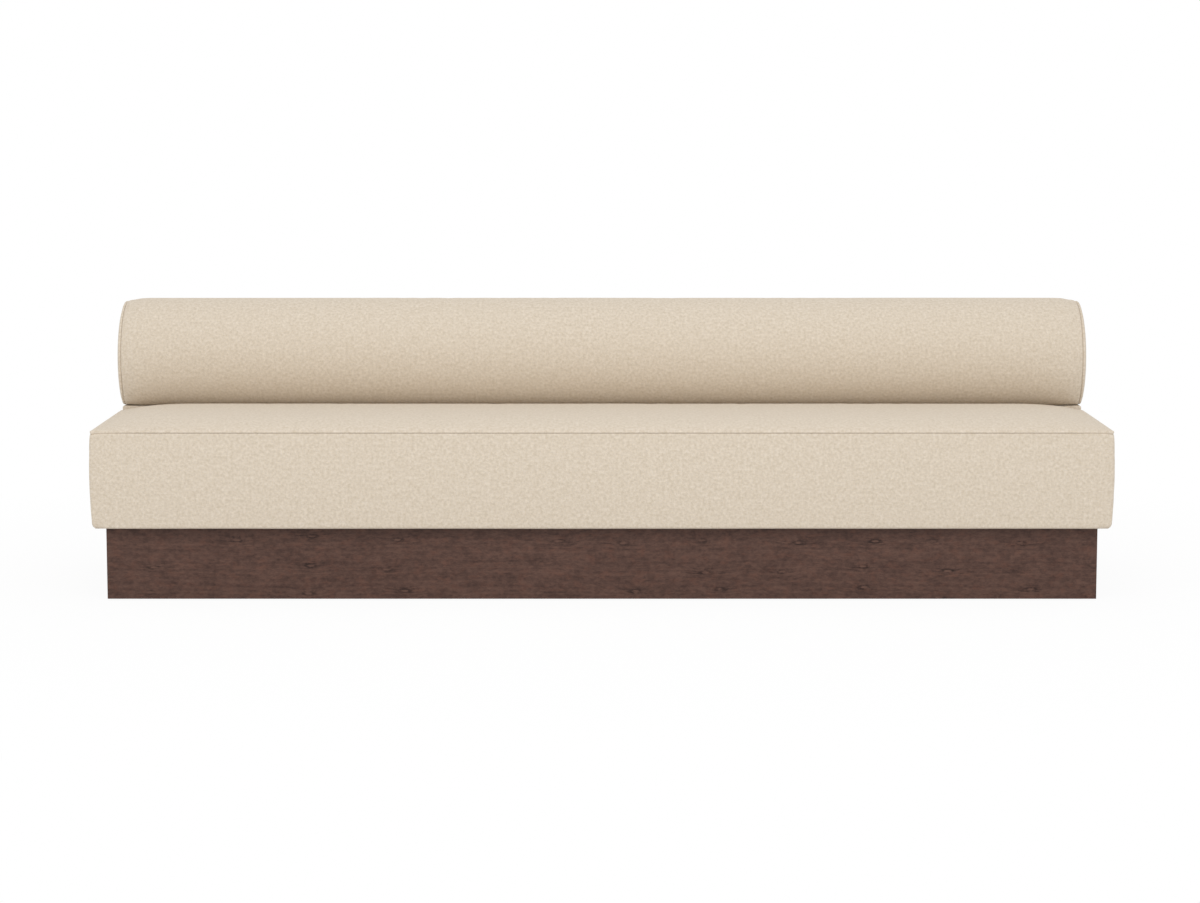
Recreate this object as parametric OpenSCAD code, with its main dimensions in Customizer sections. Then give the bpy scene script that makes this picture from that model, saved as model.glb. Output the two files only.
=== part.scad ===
// Upholstered banquette bench: a long tight box seat with a round bolster as its back,
// on a recessed walnut plinth that stands on levelling feet. Millimetres.
// The origin is on the floor under the middle of the bench. X runs along the seat,
// the front faces -Y and Z points up.

/* [Seat] */
// Length of the seat between its end faces
seat_len = 2743; // [1800:1:3200]
// Depth of the seat that shows, from its front face to the riser
seat_depth = 540; // [440:1:640]
// Height of the seat's top seam above the floor
seam_height = 458; // [430:1:500]
// Height of the seat's underside above the floor
base_height = 198; // [150:1:225]
// Rise of the seat's crown above its seams
crown_h = 30; // [8:1:36]
// Distance from each end over which the crown rises
crown_run_end = 260; // [160:1:400]
// Distance from the front seam over which the crown rises
crown_run_front = 200; // [120:1:300]
// Distance in front of the riser over which the crown falls away
crown_run_rear = 140; // [90:1:220]
// Swell of the seat's faces outside their seams
border_bulge = 3.6; // [0.5:0.1:5]
// How far the faces draw in towards the bottom hem
border_draw_in = 2; // [1:0.5:9]
// Radius of the turned-under bottom hem
hem_r = 9; // [6:0.5:12]
// Radius of the seat's upright corners
corner_r = 8; // [4:0.5:14]
// Inward pull of the cover at the top seam
seam_pull = 2; // [0.5:0.5:3]
// Height below the top seam over which the cover is pulled in
seam_run = 6; // [3:0.5:12]

/* [Soft layers] */
// Thickness of the cover fabric with its backing
cover_t = 2; // [1:0.5:3]
// Thickness of the wadding over the seat foam
wadding_t = 6; // [3:0.5:10]
// Thickness of the foam on the faces of the seat frame
border_foam_t = 15; // [12:0.5:20]
// Thickness of the pad under the bolster
riser_pad_t = 8; // [4:0.5:12]
// Thickness of the foam wrap round the bolster's core
bolster_foam_t = 43; // [41:1:50]
// Thickness of the foam pads on the bolster's ends
end_pad_t = 20; // [14:1:30]

/* [Bolster] */
// Diameter of the bolster at its fullest
bolster_d = 336; // [310:1:350]
// How far the bolster hangs over the seat in front of the riser
bolster_overhang = 62; // [54:1:68]
// Depth of the flat along the bolster's underside
bolster_flat = 35; // [30:1:38]
// Distance from the seat's end face to the bolster's end seam
bolster_end_inset = 10; // [6:0.5:40]
// Drop of the bolster's surface at its end seams
end_pinch = 8; // [2:0.5:12]
// Distance from the end seam over which the bolster fills out
pinch_run = 60; // [30:1:120]
// Rise of the soft end caps beyond the end seams
cap_dome = 16.5; // [10:0.5:20]

/* [Riser] */
// Depth of the riser behind the seat
riser_depth = 270; // [255:1:320]
// Height of the riser's top above the seat's top seam
riser_rise = 14; // [10:1:18]
// Radius of the riser's padded top edges
riser_edge_r = 10; // [6:0.5:13]
// How far the riser's cover is tucked down below the seat's top seam
riser_tuck = 40; // [20:1:70]

/* [Plinth] */
// Setback of the plinth from the seat's faces
plinth_inset = 35; // [25:1:60]
// Thickness of the plinth panels and webs
panel_t = 18; // [15:0.5:22]
// Gap between the plinth panels and the floor
floor_gap = 2; // [1:0.5:5]
// Lift of the inner webs above the panels' bottom edges
web_lift = 10; // [5:1:25]
// Width of the battens along the plinth's top edge
batten_w = 45; // [35:1:50]
// Thickness of the battens
batten_t = 22; // [18:1:28]
// Width of the blocks that hold the feet
foot_block_w = 45; // [38:1:50]
// Height of the blocks that hold the feet
foot_block_h = 90; // [60:1:95]

/* [Levelling feet] */
// Diameter of the foot pads
pad_d = 36; // [28:1:38]
// Thickness of the foot pads at their rim
pad_rim_h = 5; // [3:0.5:6]
// Height of the collar on top of a pad
pad_collar_h = 3; // [2:0.5:4]
// Diameter of the collar on top of a pad
pad_collar_d = 18; // [16:1:22]
// Diameter of the threaded stems
stem_d = 8; // [6:1:10]
// Length of stem left above its insert when a foot is screwed right out
stem_tip = 1; // [0.5:0.5:6]
// Width across the flats of a stem's spanner collar
stem_flats = 13; // [12:1:15]
// Height of a stem's spanner collar
stem_collar_h = 4; // [3:0.5:6]
// Distance that a foot screws out
foot_travel = 15; // [5:1:18]

/* [Frame] */
// Width of the seat frame's rails
rail_w = 45; // [35:1:55]
// Height of the seat frame's rails
rail_h = 110; // [90:1:130]
// Height of the cross rails
cross_h = 80; // [60:1:88]
// Thickness of the riser's boards
board_t = 18; // [12:0.5:22]
// Width of the seat webbing
webbing_w = 50; // [40:1:60]
// Thickness of the seat webbing
webbing_t = 1.5; // [1:0.25:2.5]
// Number of webbing strips along the seat
long_strips = 5; // [3:1:6]
// Number of webbing strips across the seat
cross_strips = 20; // [10:1:22]

/* [Bolster core] */
// Wall of the bolster's paper tube
tube_wall = 8; // [5:0.5:10]
// Thickness of the plywood discs in the tube
disc_t = 18; // [12:0.5:22]
// Length of the blocks that take the bolster's bolts
fix_block_l = 80; // [60:1:100]
// Width of the blocks that take the bolster's bolts
fix_block_w = 60; // [50:1:80]
// Height of the blocks that take the bolster's bolts
fix_block_h = 45; // [40:1:60]
// Number of bolts that hold the bolster
bolster_fixings = 4; // [4:1:6]

/* [Fasteners] */
// Diameter of the bolts
bolt_d = 8; // [6:1:10]
// Width across the flats of the bolt heads
bolt_flats = 13; // [12:1:17]
// Height of the bolt heads
bolt_head_h = 5.3; // [4:0.1:7]
// Diameter of the washers
washer_d = 24; // [20:1:28]
// Thickness of the washers
washer_t = 1.6; // [1:0.1:2.5]
// Diameter of the threaded inserts
insert_d = 12; // [11.5:0.5:14]
// Length of the threaded inserts
insert_l = 25; // [15:1:28]
// Diameter of the inserts' flanges
insert_flange_d = 20; // [17:1:22]
// Thickness of the inserts' flanges
insert_flange_t = 1.5; // [1:0.5:2.5]

/* [Clearances] */
// Gap between soft layers that lie on each other
soft_gap = 0.3; // [0.1:0.1:0.5]
// Radial play of a stem or bolt in its insert
thread_play = 0.15; // [0.05:0.05:0.3]
// Radial play of a bolt in a plain hole
hole_play = 0.5; // [0.3:0.1:1]
// Gap above a foot that is screwed right in
stop_gap = 0.3; // [0.1:0.1:0.5]
// Gap between the seat's crown and the bolster that presses on it
crease_gap = 2; // [1:0.5:4]

/* [Hidden] */

// Colours
fabric_colour = "#d9ccb9";
walnut_colour = "#5b463f";
plywood_colour = "#c9a77c";
softwood_colour = "#d8b988";
foam_colour = "#efe6c8";
wadding_colour = "#f2f1ec";
webbing_colour = "#8a6a4a";
lining_colour = "#26262a";
paper_colour = "#a98455";
steel_colour = "#b9bcc0";
brass_colour = "#b99a5b";
nylon_colour = "#2b2b2d";

// Fineness of round shapes and of the soft forms
$fn = 64;
corner_steps = 4;
hem_steps = 4;
side_steps = 8;
cut_overrun = 1;
corner_min_r = 0.5;

// Shares that place what repeats or shape what is soft
crown_power_share = 3.2;
draw_power_share = 1.5;
dome_edge_share = 0.62;
dome_edge_power_share = 26;
dome_middle_power_share = 2.6;
end_line_shares = [0, 0.03, 0.09, 0.18, 0.3, 0.46, 0.68, 1];
front_line_shares = [0, 0.04, 0.11, 0.22, 0.38, 0.6, 1];
pinch_shares = [0, 0.1, 0.22, 0.38, 0.58, 0.78, 1];
dome_shares = [0, 0.35, 0.6, 0.78, 0.88, 0.94, 0.975, 1];
rear_line_shares = [1, 0.68, 0.46, 0.3, 0.17, 0.07];
pad_bevel_share = 0.3;
cross_rail_shares = [-0.375, -0.125, 0.125, 0.375];
web_shares = [-0.25, 0.25];
rib_shares = [-0.25, 0, 0.25];

// Heights
frame_bottom = base_height + cover_t;
rail_top = frame_bottom + rail_h;
slab_bottom = rail_top + 2 * webbing_t;
riser_top = seam_height + riser_rise;
riser_board_top = riser_top - cover_t - riser_pad_t;
bolster_r = bolster_d / 2;
bolster_z = riser_top - bolster_flat + bolster_r;

// Swell of the seat's faces at a height: outward is positive
function face_share(z) = (z - base_height) / (seam_height - base_height);
function face_out(z) = border_bulge * sin(180 * face_share(z))
    - border_draw_in * pow(1 - face_share(z), draw_power_share);
side_heights = [for (i = [0:side_steps])
    seam_height - seam_run - (seam_height - seam_run - base_height - hem_r) * i / side_steps];
foam_heights = [for (i = [0:side_steps])
    rail_top - (rail_top - base_height - hem_r) * i / side_steps];

// Depths are counted back from the seat's front face
frame_depth = seat_depth + riser_depth;
bolster_back = seat_depth - bolster_overhang + bolster_r;
swell = max([for (z = side_heights) face_out(z)]);
overall_depth = max(frame_depth + swell, bolster_back + bolster_r) + swell;
front_y = swell - overall_depth / 2;
frame_mid_y = front_y + frame_depth / 2;

// How much further in a square corner stands inside a round one of radius r
function corner_room(r) = (1 - sqrt(1 / 2)) * max(r, 0);

// Setbacks of the layers from the seat's faces
riser_inset = seam_pull + cover_t + soft_gap;
riser_corner_r = corner_r - riser_inset;
rail_in = max(cover_t + border_foam_t, border_draw_in + hem_r) + soft_gap;
hem_in = border_draw_in + hem_r + soft_gap;
board_in = riser_inset + cover_t + soft_gap + corner_room(riser_corner_r - cover_t - soft_gap);
riser_front = seat_depth + cover_t + soft_gap;
middle_rail_back = riser_front + board_t;
middle_rail_front = middle_rail_back - rail_w;
rail_inner = rail_in + rail_w;
plinth_len = seat_len - 2 * plinth_inset;
plinth_depth = frame_depth - 2 * plinth_inset;

// Feet: three along the front and three along the back
pad_h = pad_rim_h + pad_collar_h;
foot_block_bottom = pad_h + stem_collar_h + stop_gap + insert_flange_t;
stem_len = stop_gap + insert_flange_t + insert_l + foot_travel + stem_tip;
foot_x = plinth_len / 2 - panel_t - foot_block_w / 2;
foot_in = plinth_inset + panel_t + foot_block_w / 2;
foot_places = [for (back = [0, 1]) for (side = [-1, 0, 1])
    [side * foot_x, back == 0 ? foot_in : frame_depth - foot_in]];

// Bolts between the plinth and the seat frame
seat_bolt_in = plinth_inset + panel_t + batten_w / 2;
seat_bolt_places = [for (depth = [seat_bolt_in, frame_depth - seat_bolt_in])
    for (share = cross_rail_shares) [share * seat_len, depth]];

// Bolster core and its bolts
core_r = bolster_r - bolster_foam_t;
tube_half = seat_len / 2 - bolster_end_inset - end_pad_t;
bolster_half = seat_len / 2 - bolster_end_inset;
seam_r = bolster_r - end_pinch;
end_fixing_x = tube_half - disc_t - fix_block_l / 2;
fixing_xs = [for (i = [0:bolster_fixings - 1])
    end_fixing_x * (2 * i / (bolster_fixings - 1) - 1)];

// Setback of the seat foam, clear of the cover at every height
slab_in = cover_t + soft_gap + seam_pull
    - min([for (z = side_heights) if (z >= slab_bottom) face_out(z), 0]);

// Height of the seat's top surface; back is counted from the front face
function rise(distance, run) = 1 - pow(1 - min(distance / run, 1), crown_power_share);
function bolster_skin(back) = back <= bolster_back - bolster_r
    ? bolster_z
    : bolster_z - sqrt(pow(bolster_r, 2) - pow(back - bolster_back, 2));
function crown_at(x, back) = min(
    seam_height + cover_t
        + crown_h * rise(seat_len / 2 - abs(x), crown_run_end) * rise(back, crown_run_front)
        * rise(max(seat_depth - back, 0), crown_run_rear),
    bolster_skin(back) - crease_gap);

// Lines of the grid that carries the crown
function end_lines(inset) = [for (share = end_line_shares)
    seat_len / 2 - inset - share * (crown_run_end - inset)];
function grid_xs(inset) = concat(
    [for (x = end_lines(inset)) -x], [0],
    [for (i = [len(end_line_shares) - 1:-1:0]) end_lines(inset)[i]]);
function grid_backs(inset, rear) = concat(
    [for (share = front_line_shares) inset + share * (crown_run_front - inset)],
    [for (share = rear_line_shares) rear - share * crown_run_rear],
    [rear]);

// A closed sheet between two grids of points, cols points in a row
module sheet(top, bottom, cols) {
    rows = len(top) / cols;
    count = len(top);
    function id(r, c) = r * cols + c;
    function halves(a, b, c, d) = [[a, b, c], [a, c, d]];
    quads = concat(
        [for (r = [0:rows - 2]) for (c = [0:cols - 2])
            [id(r, c), id(r + 1, c), id(r + 1, c + 1), id(r, c + 1)]],
        [for (r = [0:rows - 2]) for (c = [0:cols - 2])
            [count + id(r, c), count + id(r, c + 1), count + id(r + 1, c + 1), count + id(r + 1, c)]],
        [for (c = [0:cols - 2])
            [count + id(0, c), id(0, c), id(0, c + 1), count + id(0, c + 1)]],
        [for (c = [0:cols - 2])
            [count + id(rows - 1, c + 1), id(rows - 1, c + 1), id(rows - 1, c), count + id(rows - 1, c)]],
        [for (r = [0:rows - 2])
            [count + id(r + 1, 0), id(r + 1, 0), id(r, 0), count + id(r, 0)]],
        [for (r = [0:rows - 2])
            [count + id(r, cols - 1), id(r, cols - 1), id(r + 1, cols - 1), count + id(r + 1, cols - 1)]]);
    polyhedron(
        points = concat(top, bottom),
        faces = [for (q = quads) for (half = halves(q[0], q[1], q[2], q[3])) half],
        convexity = 4);
}

// Points of one crowned layer, lowered by drop, with its front corners drawn in
function layer_points(inset, rear, drop) =
    let (xs = grid_xs(inset), backs = grid_backs(inset, rear), last = len(xs) - 1)
    [for (r = [0:len(backs) - 1]) for (c = [0:last])
        let (room = r == 0 && (c == 0 || c == last) ? corner_room(corner_r - inset) : 0)
        [xs[c] - sign(xs[c]) * room, front_y + backs[r] + room, crown_at(xs[c], backs[r]) - drop]];

// A box given by its low corner and size, with depth counted from the front face
module block(x0, back0, z0, size_x, size_back, size_z) {
    translate([x0, front_y + back0, z0]) cube([size_x, size_back, size_z]);
}

module centred_block(x, back0, z0, size_x, size_back, size_z) {
    block(x - size_x / 2, back0, z0, size_x, size_back, size_z);
}

// Upright bores at a list of places
module bores(places, d, z0, z1) {
    for (place = places)
        translate([place[0], front_y + place[1], z0 - cut_overrun])
            cylinder(d = d, h = z1 - z0 + 2 * cut_overrun);
}

// Hexagon head under a bearing plane, with its shank going up from the plane
module bolt(plane, tip) {
    translate([0, 0, plane - bolt_head_h])
        cylinder(d = bolt_flats / cos(30), h = bolt_head_h, $fn = 6);
    translate([0, 0, plane]) cylinder(d = bolt_d, h = tip - plane);
}

module washer(plane) {
    translate([0, 0, plane - washer_t]) difference() {
        cylinder(d = washer_d, h = washer_t);
        translate([0, 0, -cut_overrun])
            cylinder(d = bolt_d + 2 * hole_play, h = washer_t + 2 * cut_overrun);
    }
}

// Threaded sleeve going up from a plane; an outer flange lies below the plane
module insert_sleeve(plane, bore_d, flange) {
    difference() {
        union() {
            translate([0, 0, plane]) cylinder(d = insert_d, h = insert_l);
            if (flange)
                translate([0, 0, plane - insert_flange_t])
                    cylinder(d = insert_flange_d, h = insert_flange_t);
        }
        translate([0, 0, plane - insert_flange_t - cut_overrun])
            cylinder(d = bore_d, h = insert_l + insert_flange_t + 2 * cut_overrun);
    }
}

// Plinth
plinth_panel_h = base_height - floor_gap;

module long_panel(back0) {
    color(walnut_colour)
        centred_block(0, back0, floor_gap, plinth_len, panel_t, plinth_panel_h);
}

module end_panel(x0) {
    color(walnut_colour)
        block(x0, plinth_inset + panel_t, floor_gap,
            panel_t, plinth_depth - 2 * panel_t, plinth_panel_h);
}

module plinth_front_panel() { long_panel(plinth_inset); }
module plinth_back_panel() { long_panel(plinth_inset + plinth_depth - panel_t); }
module plinth_left_panel() { end_panel(-plinth_len / 2); }
module plinth_right_panel() { end_panel(plinth_len / 2 - panel_t); }

module plinth_webs() {
    web_bottom = floor_gap + web_lift;
    color(plywood_colour)
        for (share = web_shares)
            centred_block(share * seat_len, plinth_inset + panel_t, web_bottom,
                panel_t, plinth_depth - 2 * panel_t, base_height - web_bottom);
}

// The battens run between the end panels and the webs
module plinth_battens() {
    inner_half = plinth_len / 2 - panel_t;
    starts = concat([-inner_half], [for (share = web_shares) share * seat_len + panel_t / 2]);
    ends = concat([for (share = web_shares) share * seat_len - panel_t / 2], [inner_half]);
    color(softwood_colour) difference() {
        for (back0 = [plinth_inset + panel_t, frame_depth - plinth_inset - panel_t - batten_w])
            for (i = [0:len(starts) - 1])
                block(starts[i], back0, base_height - batten_t,
                    ends[i] - starts[i], batten_w, batten_t);
        bores(seat_bolt_places, bolt_d + 2 * hole_play, base_height - batten_t, base_height);
    }
}

module foot_blocks() {
    color(softwood_colour) difference() {
        for (place = foot_places)
            centred_block(place[0], place[1] - foot_block_w / 2, foot_block_bottom,
                foot_block_w, foot_block_w, foot_block_h);
        bores(foot_places, insert_d, foot_block_bottom, foot_block_bottom + foot_block_h);
    }
}

module foot_inserts() {
    color(steel_colour)
        for (place = foot_places)
            translate([place[0], front_y + place[1], 0])
                insert_sleeve(foot_block_bottom, stem_d + 2 * thread_play, true);
}

module foot_stem(number) {
    place = foot_places[number - 1];
    color(steel_colour) translate([place[0], front_y + place[1], pad_h]) {
        cylinder(d = stem_flats / cos(30), h = stem_collar_h, $fn = 6);
        cylinder(d = stem_d, h = stem_collar_h + stem_len);
    }
}

module foot_pad(number) {
    place = foot_places[number - 1];
    bevel = pad_rim_h * pad_bevel_share;
    color(nylon_colour) translate([place[0], front_y + place[1], 0])
        rotate_extrude()
            polygon([
                [0, 0], [pad_d / 2 - bevel, 0], [pad_d / 2, bevel], [pad_d / 2, pad_rim_h - bevel],
                [pad_d / 2 - bevel, pad_rim_h], [pad_collar_d / 2, pad_rim_h],
                [pad_collar_d / 2, pad_h], [0, pad_h]]);
}

// Seat frame
module long_rail(back0) {
    color(softwood_colour)
        centred_block(0, back0, frame_bottom, seat_len - 2 * (rail_in + rail_w), rail_w, rail_h);
}

module end_rail(x0) {
    color(softwood_colour)
        block(x0, rail_in, frame_bottom, rail_w, frame_depth - 2 * rail_in, rail_h);
}

module seat_front_rail() { long_rail(rail_in); }
module seat_middle_rail() { long_rail(middle_rail_front); }
module seat_back_rail() { long_rail(frame_depth - rail_in - rail_w); }
module seat_left_rail() { end_rail(-seat_len / 2 + rail_in); }
module seat_right_rail() { end_rail(seat_len / 2 - rail_in - rail_w); }

module seat_cross_rails() {
    color(softwood_colour) difference() {
        for (share = cross_rail_shares) {
            centred_block(share * seat_len, rail_inner, frame_bottom,
                rail_w, middle_rail_front - rail_inner, cross_h);
            centred_block(share * seat_len, middle_rail_back, frame_bottom,
                rail_w, frame_depth - rail_inner - middle_rail_back, cross_h);
        }
        bores(seat_bolt_places, insert_d, frame_bottom, frame_bottom + insert_l);
    }
}

module seat_bolts() {
    color(steel_colour)
        for (place = seat_bolt_places)
            translate([place[0], front_y + place[1], 0])
                bolt(base_height - batten_t - washer_t, frame_bottom + insert_l - washer_t);
}

module seat_bolt_washers() {
    color(steel_colour)
        for (place = seat_bolt_places)
            translate([place[0], front_y + place[1], 0]) washer(base_height - batten_t);
}

module seat_inserts() {
    color(brass_colour)
        for (place = seat_bolt_places)
            translate([place[0], front_y + place[1], 0])
                insert_sleeve(frame_bottom, bolt_d + 2 * thread_play, false);
}

module dust_cover() {
    color(lining_colour) difference() {
        centred_block(0, hem_in, base_height, seat_len - 2 * hem_in, frame_depth - 2 * hem_in, cover_t);
        bores(seat_bolt_places, bolt_d + 2 * hole_play, base_height, frame_bottom);
    }
}

// Webbing: lengthwise strips lie on the end rails, cross strips on top of them
strip_span = middle_rail_front - rail_inner;

module webbing_lengthwise() {
    strip_pitch = strip_span / long_strips;
    color(webbing_colour)
        for (i = [0:long_strips - 1])
            centred_block(0, rail_inner + strip_pitch * (i + 1 / 2) - webbing_w / 2, rail_top,
                seat_len - 2 * rail_in, webbing_w, webbing_t);
}

module webbing_cross() {
    strip_len = seat_depth - soft_gap - rail_in;
    rear_tab = seat_depth - soft_gap - middle_rail_front;
    strip_room = seat_len - 2 * rail_inner;
    strip_pitch = strip_room / cross_strips;
    color(webbing_colour)
        for (i = [0:cross_strips - 1]) {
            x = strip_pitch * (i + 1 / 2) - strip_room / 2;
            centred_block(x, rail_in, rail_top + webbing_t, webbing_w, strip_len, webbing_t);
            centred_block(x, rail_in, rail_top, webbing_w, rail_w, 2 * webbing_t);
            centred_block(x, middle_rail_front, rail_top, webbing_w, rear_tab, 2 * webbing_t);
        }
}

// Seat foam, wadding and cover share one crown
slab_rear = seat_depth - cover_t - soft_gap;
wadding_drop = cover_t + soft_gap;
foam_drop = wadding_drop + wadding_t + soft_gap;

module seat_foam() {
    top = layer_points(slab_in, slab_rear, foam_drop);
    color(foam_colour)
        sheet(top, [for (p = top) [p[0], p[1], slab_bottom]], len(grid_xs(slab_in)));
}

module seat_wadding() {
    color(wadding_colour)
        sheet(
            layer_points(slab_in, slab_rear, wadding_drop),
            layer_points(slab_in, slab_rear, wadding_drop + wadding_t),
            len(grid_xs(slab_in)));
}

// The top cover ends in a flap that is tucked down in front of the riser
module seat_top_cover() {
    flap_xs = grid_xs(riser_inset);
    flap_zs = [seam_height, seam_height - riser_tuck];
    rear_in = seat_depth - cover_t;
    color(fabric_colour)
        sheet(
            concat(
                layer_points(seam_pull, seat_depth, 0),
                [for (z = flap_zs) for (x = flap_xs) [x, front_y + seat_depth, z]]),
            concat(
                layer_points(seam_pull, rear_in, cover_t),
                [for (z = flap_zs) for (x = flap_xs) [x, front_y + rear_in, z]]),
            len(flap_xs));
}

// Closed outline of the border cover: outside from the seam down, then up the inside
hem_centre = [-border_draw_in - hem_r, base_height + hem_r];
function hem_arc(r, angles) = [for (a = angles) hem_centre + r * [cos(a), -sin(a)]];
hem_angles = [for (i = [1:hem_steps]) 90 * i / hem_steps];
border_outline = concat(
    [[-seam_pull, seam_height]],
    [for (z = side_heights) [face_out(z), z]],
    hem_arc(hem_r, hem_angles),
    hem_arc(hem_r - cover_t, [for (i = [hem_steps:-1:1]) 90 * i / hem_steps]),
    [for (i = [side_steps:-1:0]) [face_out(side_heights[i]) - cover_t, side_heights[i]]],
    [[-seam_pull - cover_t, seam_height]]);

// A point on the rounded rectangle round the seat, moved out by out
function ring_point(corner, angle, out) =
    let (
        r = max(corner_r + out, corner_min_r),
        side_x = corner == 0 || corner == 1 ? 1 : -1,
        side_y = corner == 1 || corner == 2 ? 1 : -1)
    [side_x * (seat_len / 2 + out - r) + r * cos(angle),
        frame_mid_y + side_y * (frame_depth / 2 + out - r) + r * sin(angle)];

module seat_border_cover() {
    stations = [for (corner = [0:3]) for (i = [0:corner_steps])
        [corner, 90 * (corner - 1) + 90 * i / corner_steps]];
    count = len(border_outline);
    color(fabric_colour) polyhedron(
        points = [for (s = stations) for (p = border_outline)
            concat(ring_point(s[0], s[1], p[0]), [p[1]])],
        faces = [for (k = [0:len(stations) - 1]) for (j = [0:count - 1])
            let (
                here = k * count,
                next = ((k + 1) % len(stations)) * count,
                below = (j + 1) % count)
            for (face = [[here + j, next + j, next + below], [here + j, next + below, here + below]])
                face],
        convexity = 6);
}

// Foam on the faces of the seat frame, in section: out of the seat is +X
foam_back = soft_gap - rail_in;
function hem_floor(out) = base_height + hem_r
    - sqrt(max(pow(hem_r - cover_t - soft_gap, 2) - pow(out - hem_centre[0], 2), 0));
foam_outline = concat(
    [for (z = foam_heights) [face_out(z) - cover_t - soft_gap, z]],
    [[foam_back, hem_floor(foam_back)], [foam_back, rail_top]]);
foam_strip_len = seat_len - 2 * (hem_in + cover_t);

module foam_strip(length) {
    translate([0, length / 2, 0]) rotate([90, 0, 0]) linear_extrude(length) polygon(foam_outline);
}

module border_foam_front() {
    color(foam_colour) translate([0, front_y, 0]) rotate([0, 0, -90]) foam_strip(foam_strip_len);
}

module border_foam_back() {
    color(foam_colour) translate([0, front_y + frame_depth, 0]) rotate([0, 0, 90])
        foam_strip(foam_strip_len);
}

module border_foam_left() {
    color(foam_colour) translate([-seat_len / 2, frame_mid_y, 0]) rotate([0, 0, 180])
        foam_strip(frame_depth - 2 * rail_in);
}

module border_foam_right() {
    color(foam_colour) translate([seat_len / 2, frame_mid_y, 0]) foam_strip(frame_depth - 2 * rail_in);
}

// Riser: a timber box behind the seat that carries the bolster
riser_board_h = riser_board_top - board_t - rail_top;
riser_inner_depth = frame_depth - board_in - board_t - middle_rail_back;

module riser_long_board(back0) {
    color(plywood_colour)
        centred_block(0, back0, rail_top, seat_len - 2 * (board_in + board_t), board_t, riser_board_h);
}

module riser_end_board(x0) {
    color(plywood_colour)
        block(x0, riser_front, rail_top, board_t, frame_depth - board_in - riser_front, riser_board_h);
}

module riser_front_board() { riser_long_board(riser_front); }
module riser_back_board() { riser_long_board(frame_depth - board_in - board_t); }
module riser_left_board() { riser_end_board(-seat_len / 2 + board_in); }
module riser_right_board() { riser_end_board(seat_len / 2 - board_in - board_t); }

module riser_ribs() {
    color(plywood_colour)
        for (share = rib_shares)
            centred_block(share * seat_len, middle_rail_back, rail_top,
                board_t, riser_inner_depth, riser_board_h);
}

bolster_bolt_places = [for (x = fixing_xs) [x, bolster_back]];
bolt_hole_d = bolt_d + 2 * hole_play;

module riser_top_board() {
    color(plywood_colour) difference() {
        centred_block(0, riser_front, riser_board_top - board_t,
            seat_len - 2 * board_in, frame_depth - board_in - riser_front, board_t);
        bores(bolster_bolt_places, bolt_hole_d, riser_board_top - board_t, riser_board_top);
    }
}

// Section with rounded top corners, from a low height up to the riser's top
module riser_section(width, low, shrink) {
    half = width / 2 - shrink;
    top = riser_top - shrink;
    r = riser_edge_r - shrink;
    polygon([[-half, low], [half, low], [half, top - r], [half - r, top - r],
        [half - r, top], [-half + r, top], [-half + r, top - r], [-half, top - r]]);
    for (side = [-1, 1])
        translate([side * (half - r), top - r]) circle(r = r);
}

riser_width = seat_len - 2 * riser_inset;
riser_run = frame_depth - riser_inset - seat_depth;

module rounded_rectangle(width, depth, r) {
    square([width, depth - 2 * r], center = true);
    square([width - 2 * r, depth], center = true);
    for (side_x = [-1, 1])
        for (side_y = [-1, 1])
            translate([side_x * (width / 2 - r), side_y * (depth / 2 - r)]) circle(r = r);
}

module riser_form(low, shrink) {
    translate([0, front_y + seat_depth + riser_run / 2, 0]) intersection() {
        rotate([90, 0, 90]) translate([0, 0, -riser_width / 2 + shrink])
            linear_extrude(riser_width - 2 * shrink) riser_section(riser_run, low, shrink);
        rotate([90, 0, 0]) translate([0, 0, -riser_run / 2 + shrink])
            linear_extrude(riser_run - 2 * shrink) riser_section(riser_width, low, shrink);
        translate([0, 0, low]) linear_extrude(riser_top - low)
            rounded_rectangle(riser_width - 2 * shrink, riser_run - 2 * shrink,
                max(riser_corner_r - shrink, corner_min_r));
    }
}

module riser_pad() {
    color(foam_colour) difference() {
        above(riser_board_top) riser_form(riser_board_top - board_t, cover_t + soft_gap);
        bores(bolster_bolt_places, bolt_hole_d, riser_board_top, riser_top);
    }
}

module riser_cover() {
    skirt_z = seam_height - riser_tuck;
    color(fabric_colour) difference() {
        riser_form(skirt_z, 0);
        riser_form(skirt_z - cut_overrun, cover_t);
        bores(bolster_bolt_places, bolt_hole_d, riser_board_top, riser_top);
    }
}

// Bolster: shapes turned about its own axis, which lies along X
module along_bolster() {
    translate([0, front_y + bolster_back, bolster_z]) rotate([0, 90, 0]) children();
}

// The part of a shape that lies above a level
module above(level) {
    intersection() {
        children();
        translate([-seat_len, front_y, level]) cube([2 * seat_len, overall_depth, 2 * bolster_d]);
    }
}

function filled_r(from_seam) = bolster_r
    - end_pinch * pow(1 - min(from_seam / pinch_run, 1), 2);
end_steps = [for (share = pinch_shares) share * pinch_run];

// A turned length with the bolster's filled-out ends, shrunk by shrink all round
module bolster_body(half, shrink) {
    outline = concat(
        [[0, -half]],
        [for (s = end_steps) [filled_r(s) - shrink, max(s, bolster_half - half) - bolster_half]],
        [for (i = [len(end_steps) - 1:-1:0])
            [filled_r(end_steps[i]) - shrink, bolster_half - max(end_steps[i], bolster_half - half)]],
        [[0, half]]);
    along_bolster() rotate_extrude($fn = 96) polygon(outline);
}

module turned_bore(r, half) {
    along_bolster() translate([0, 0, -half]) cylinder(r = r, h = 2 * half, $fn = 96);
}

module bolster_core_tube() {
    color(paper_colour) difference() {
        turned_bore(core_r, tube_half);
        turned_bore(core_r - tube_wall, tube_half + cut_overrun);
        bores(bolster_bolt_places, bolt_hole_d, riser_top, bolster_z);
    }
}

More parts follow.
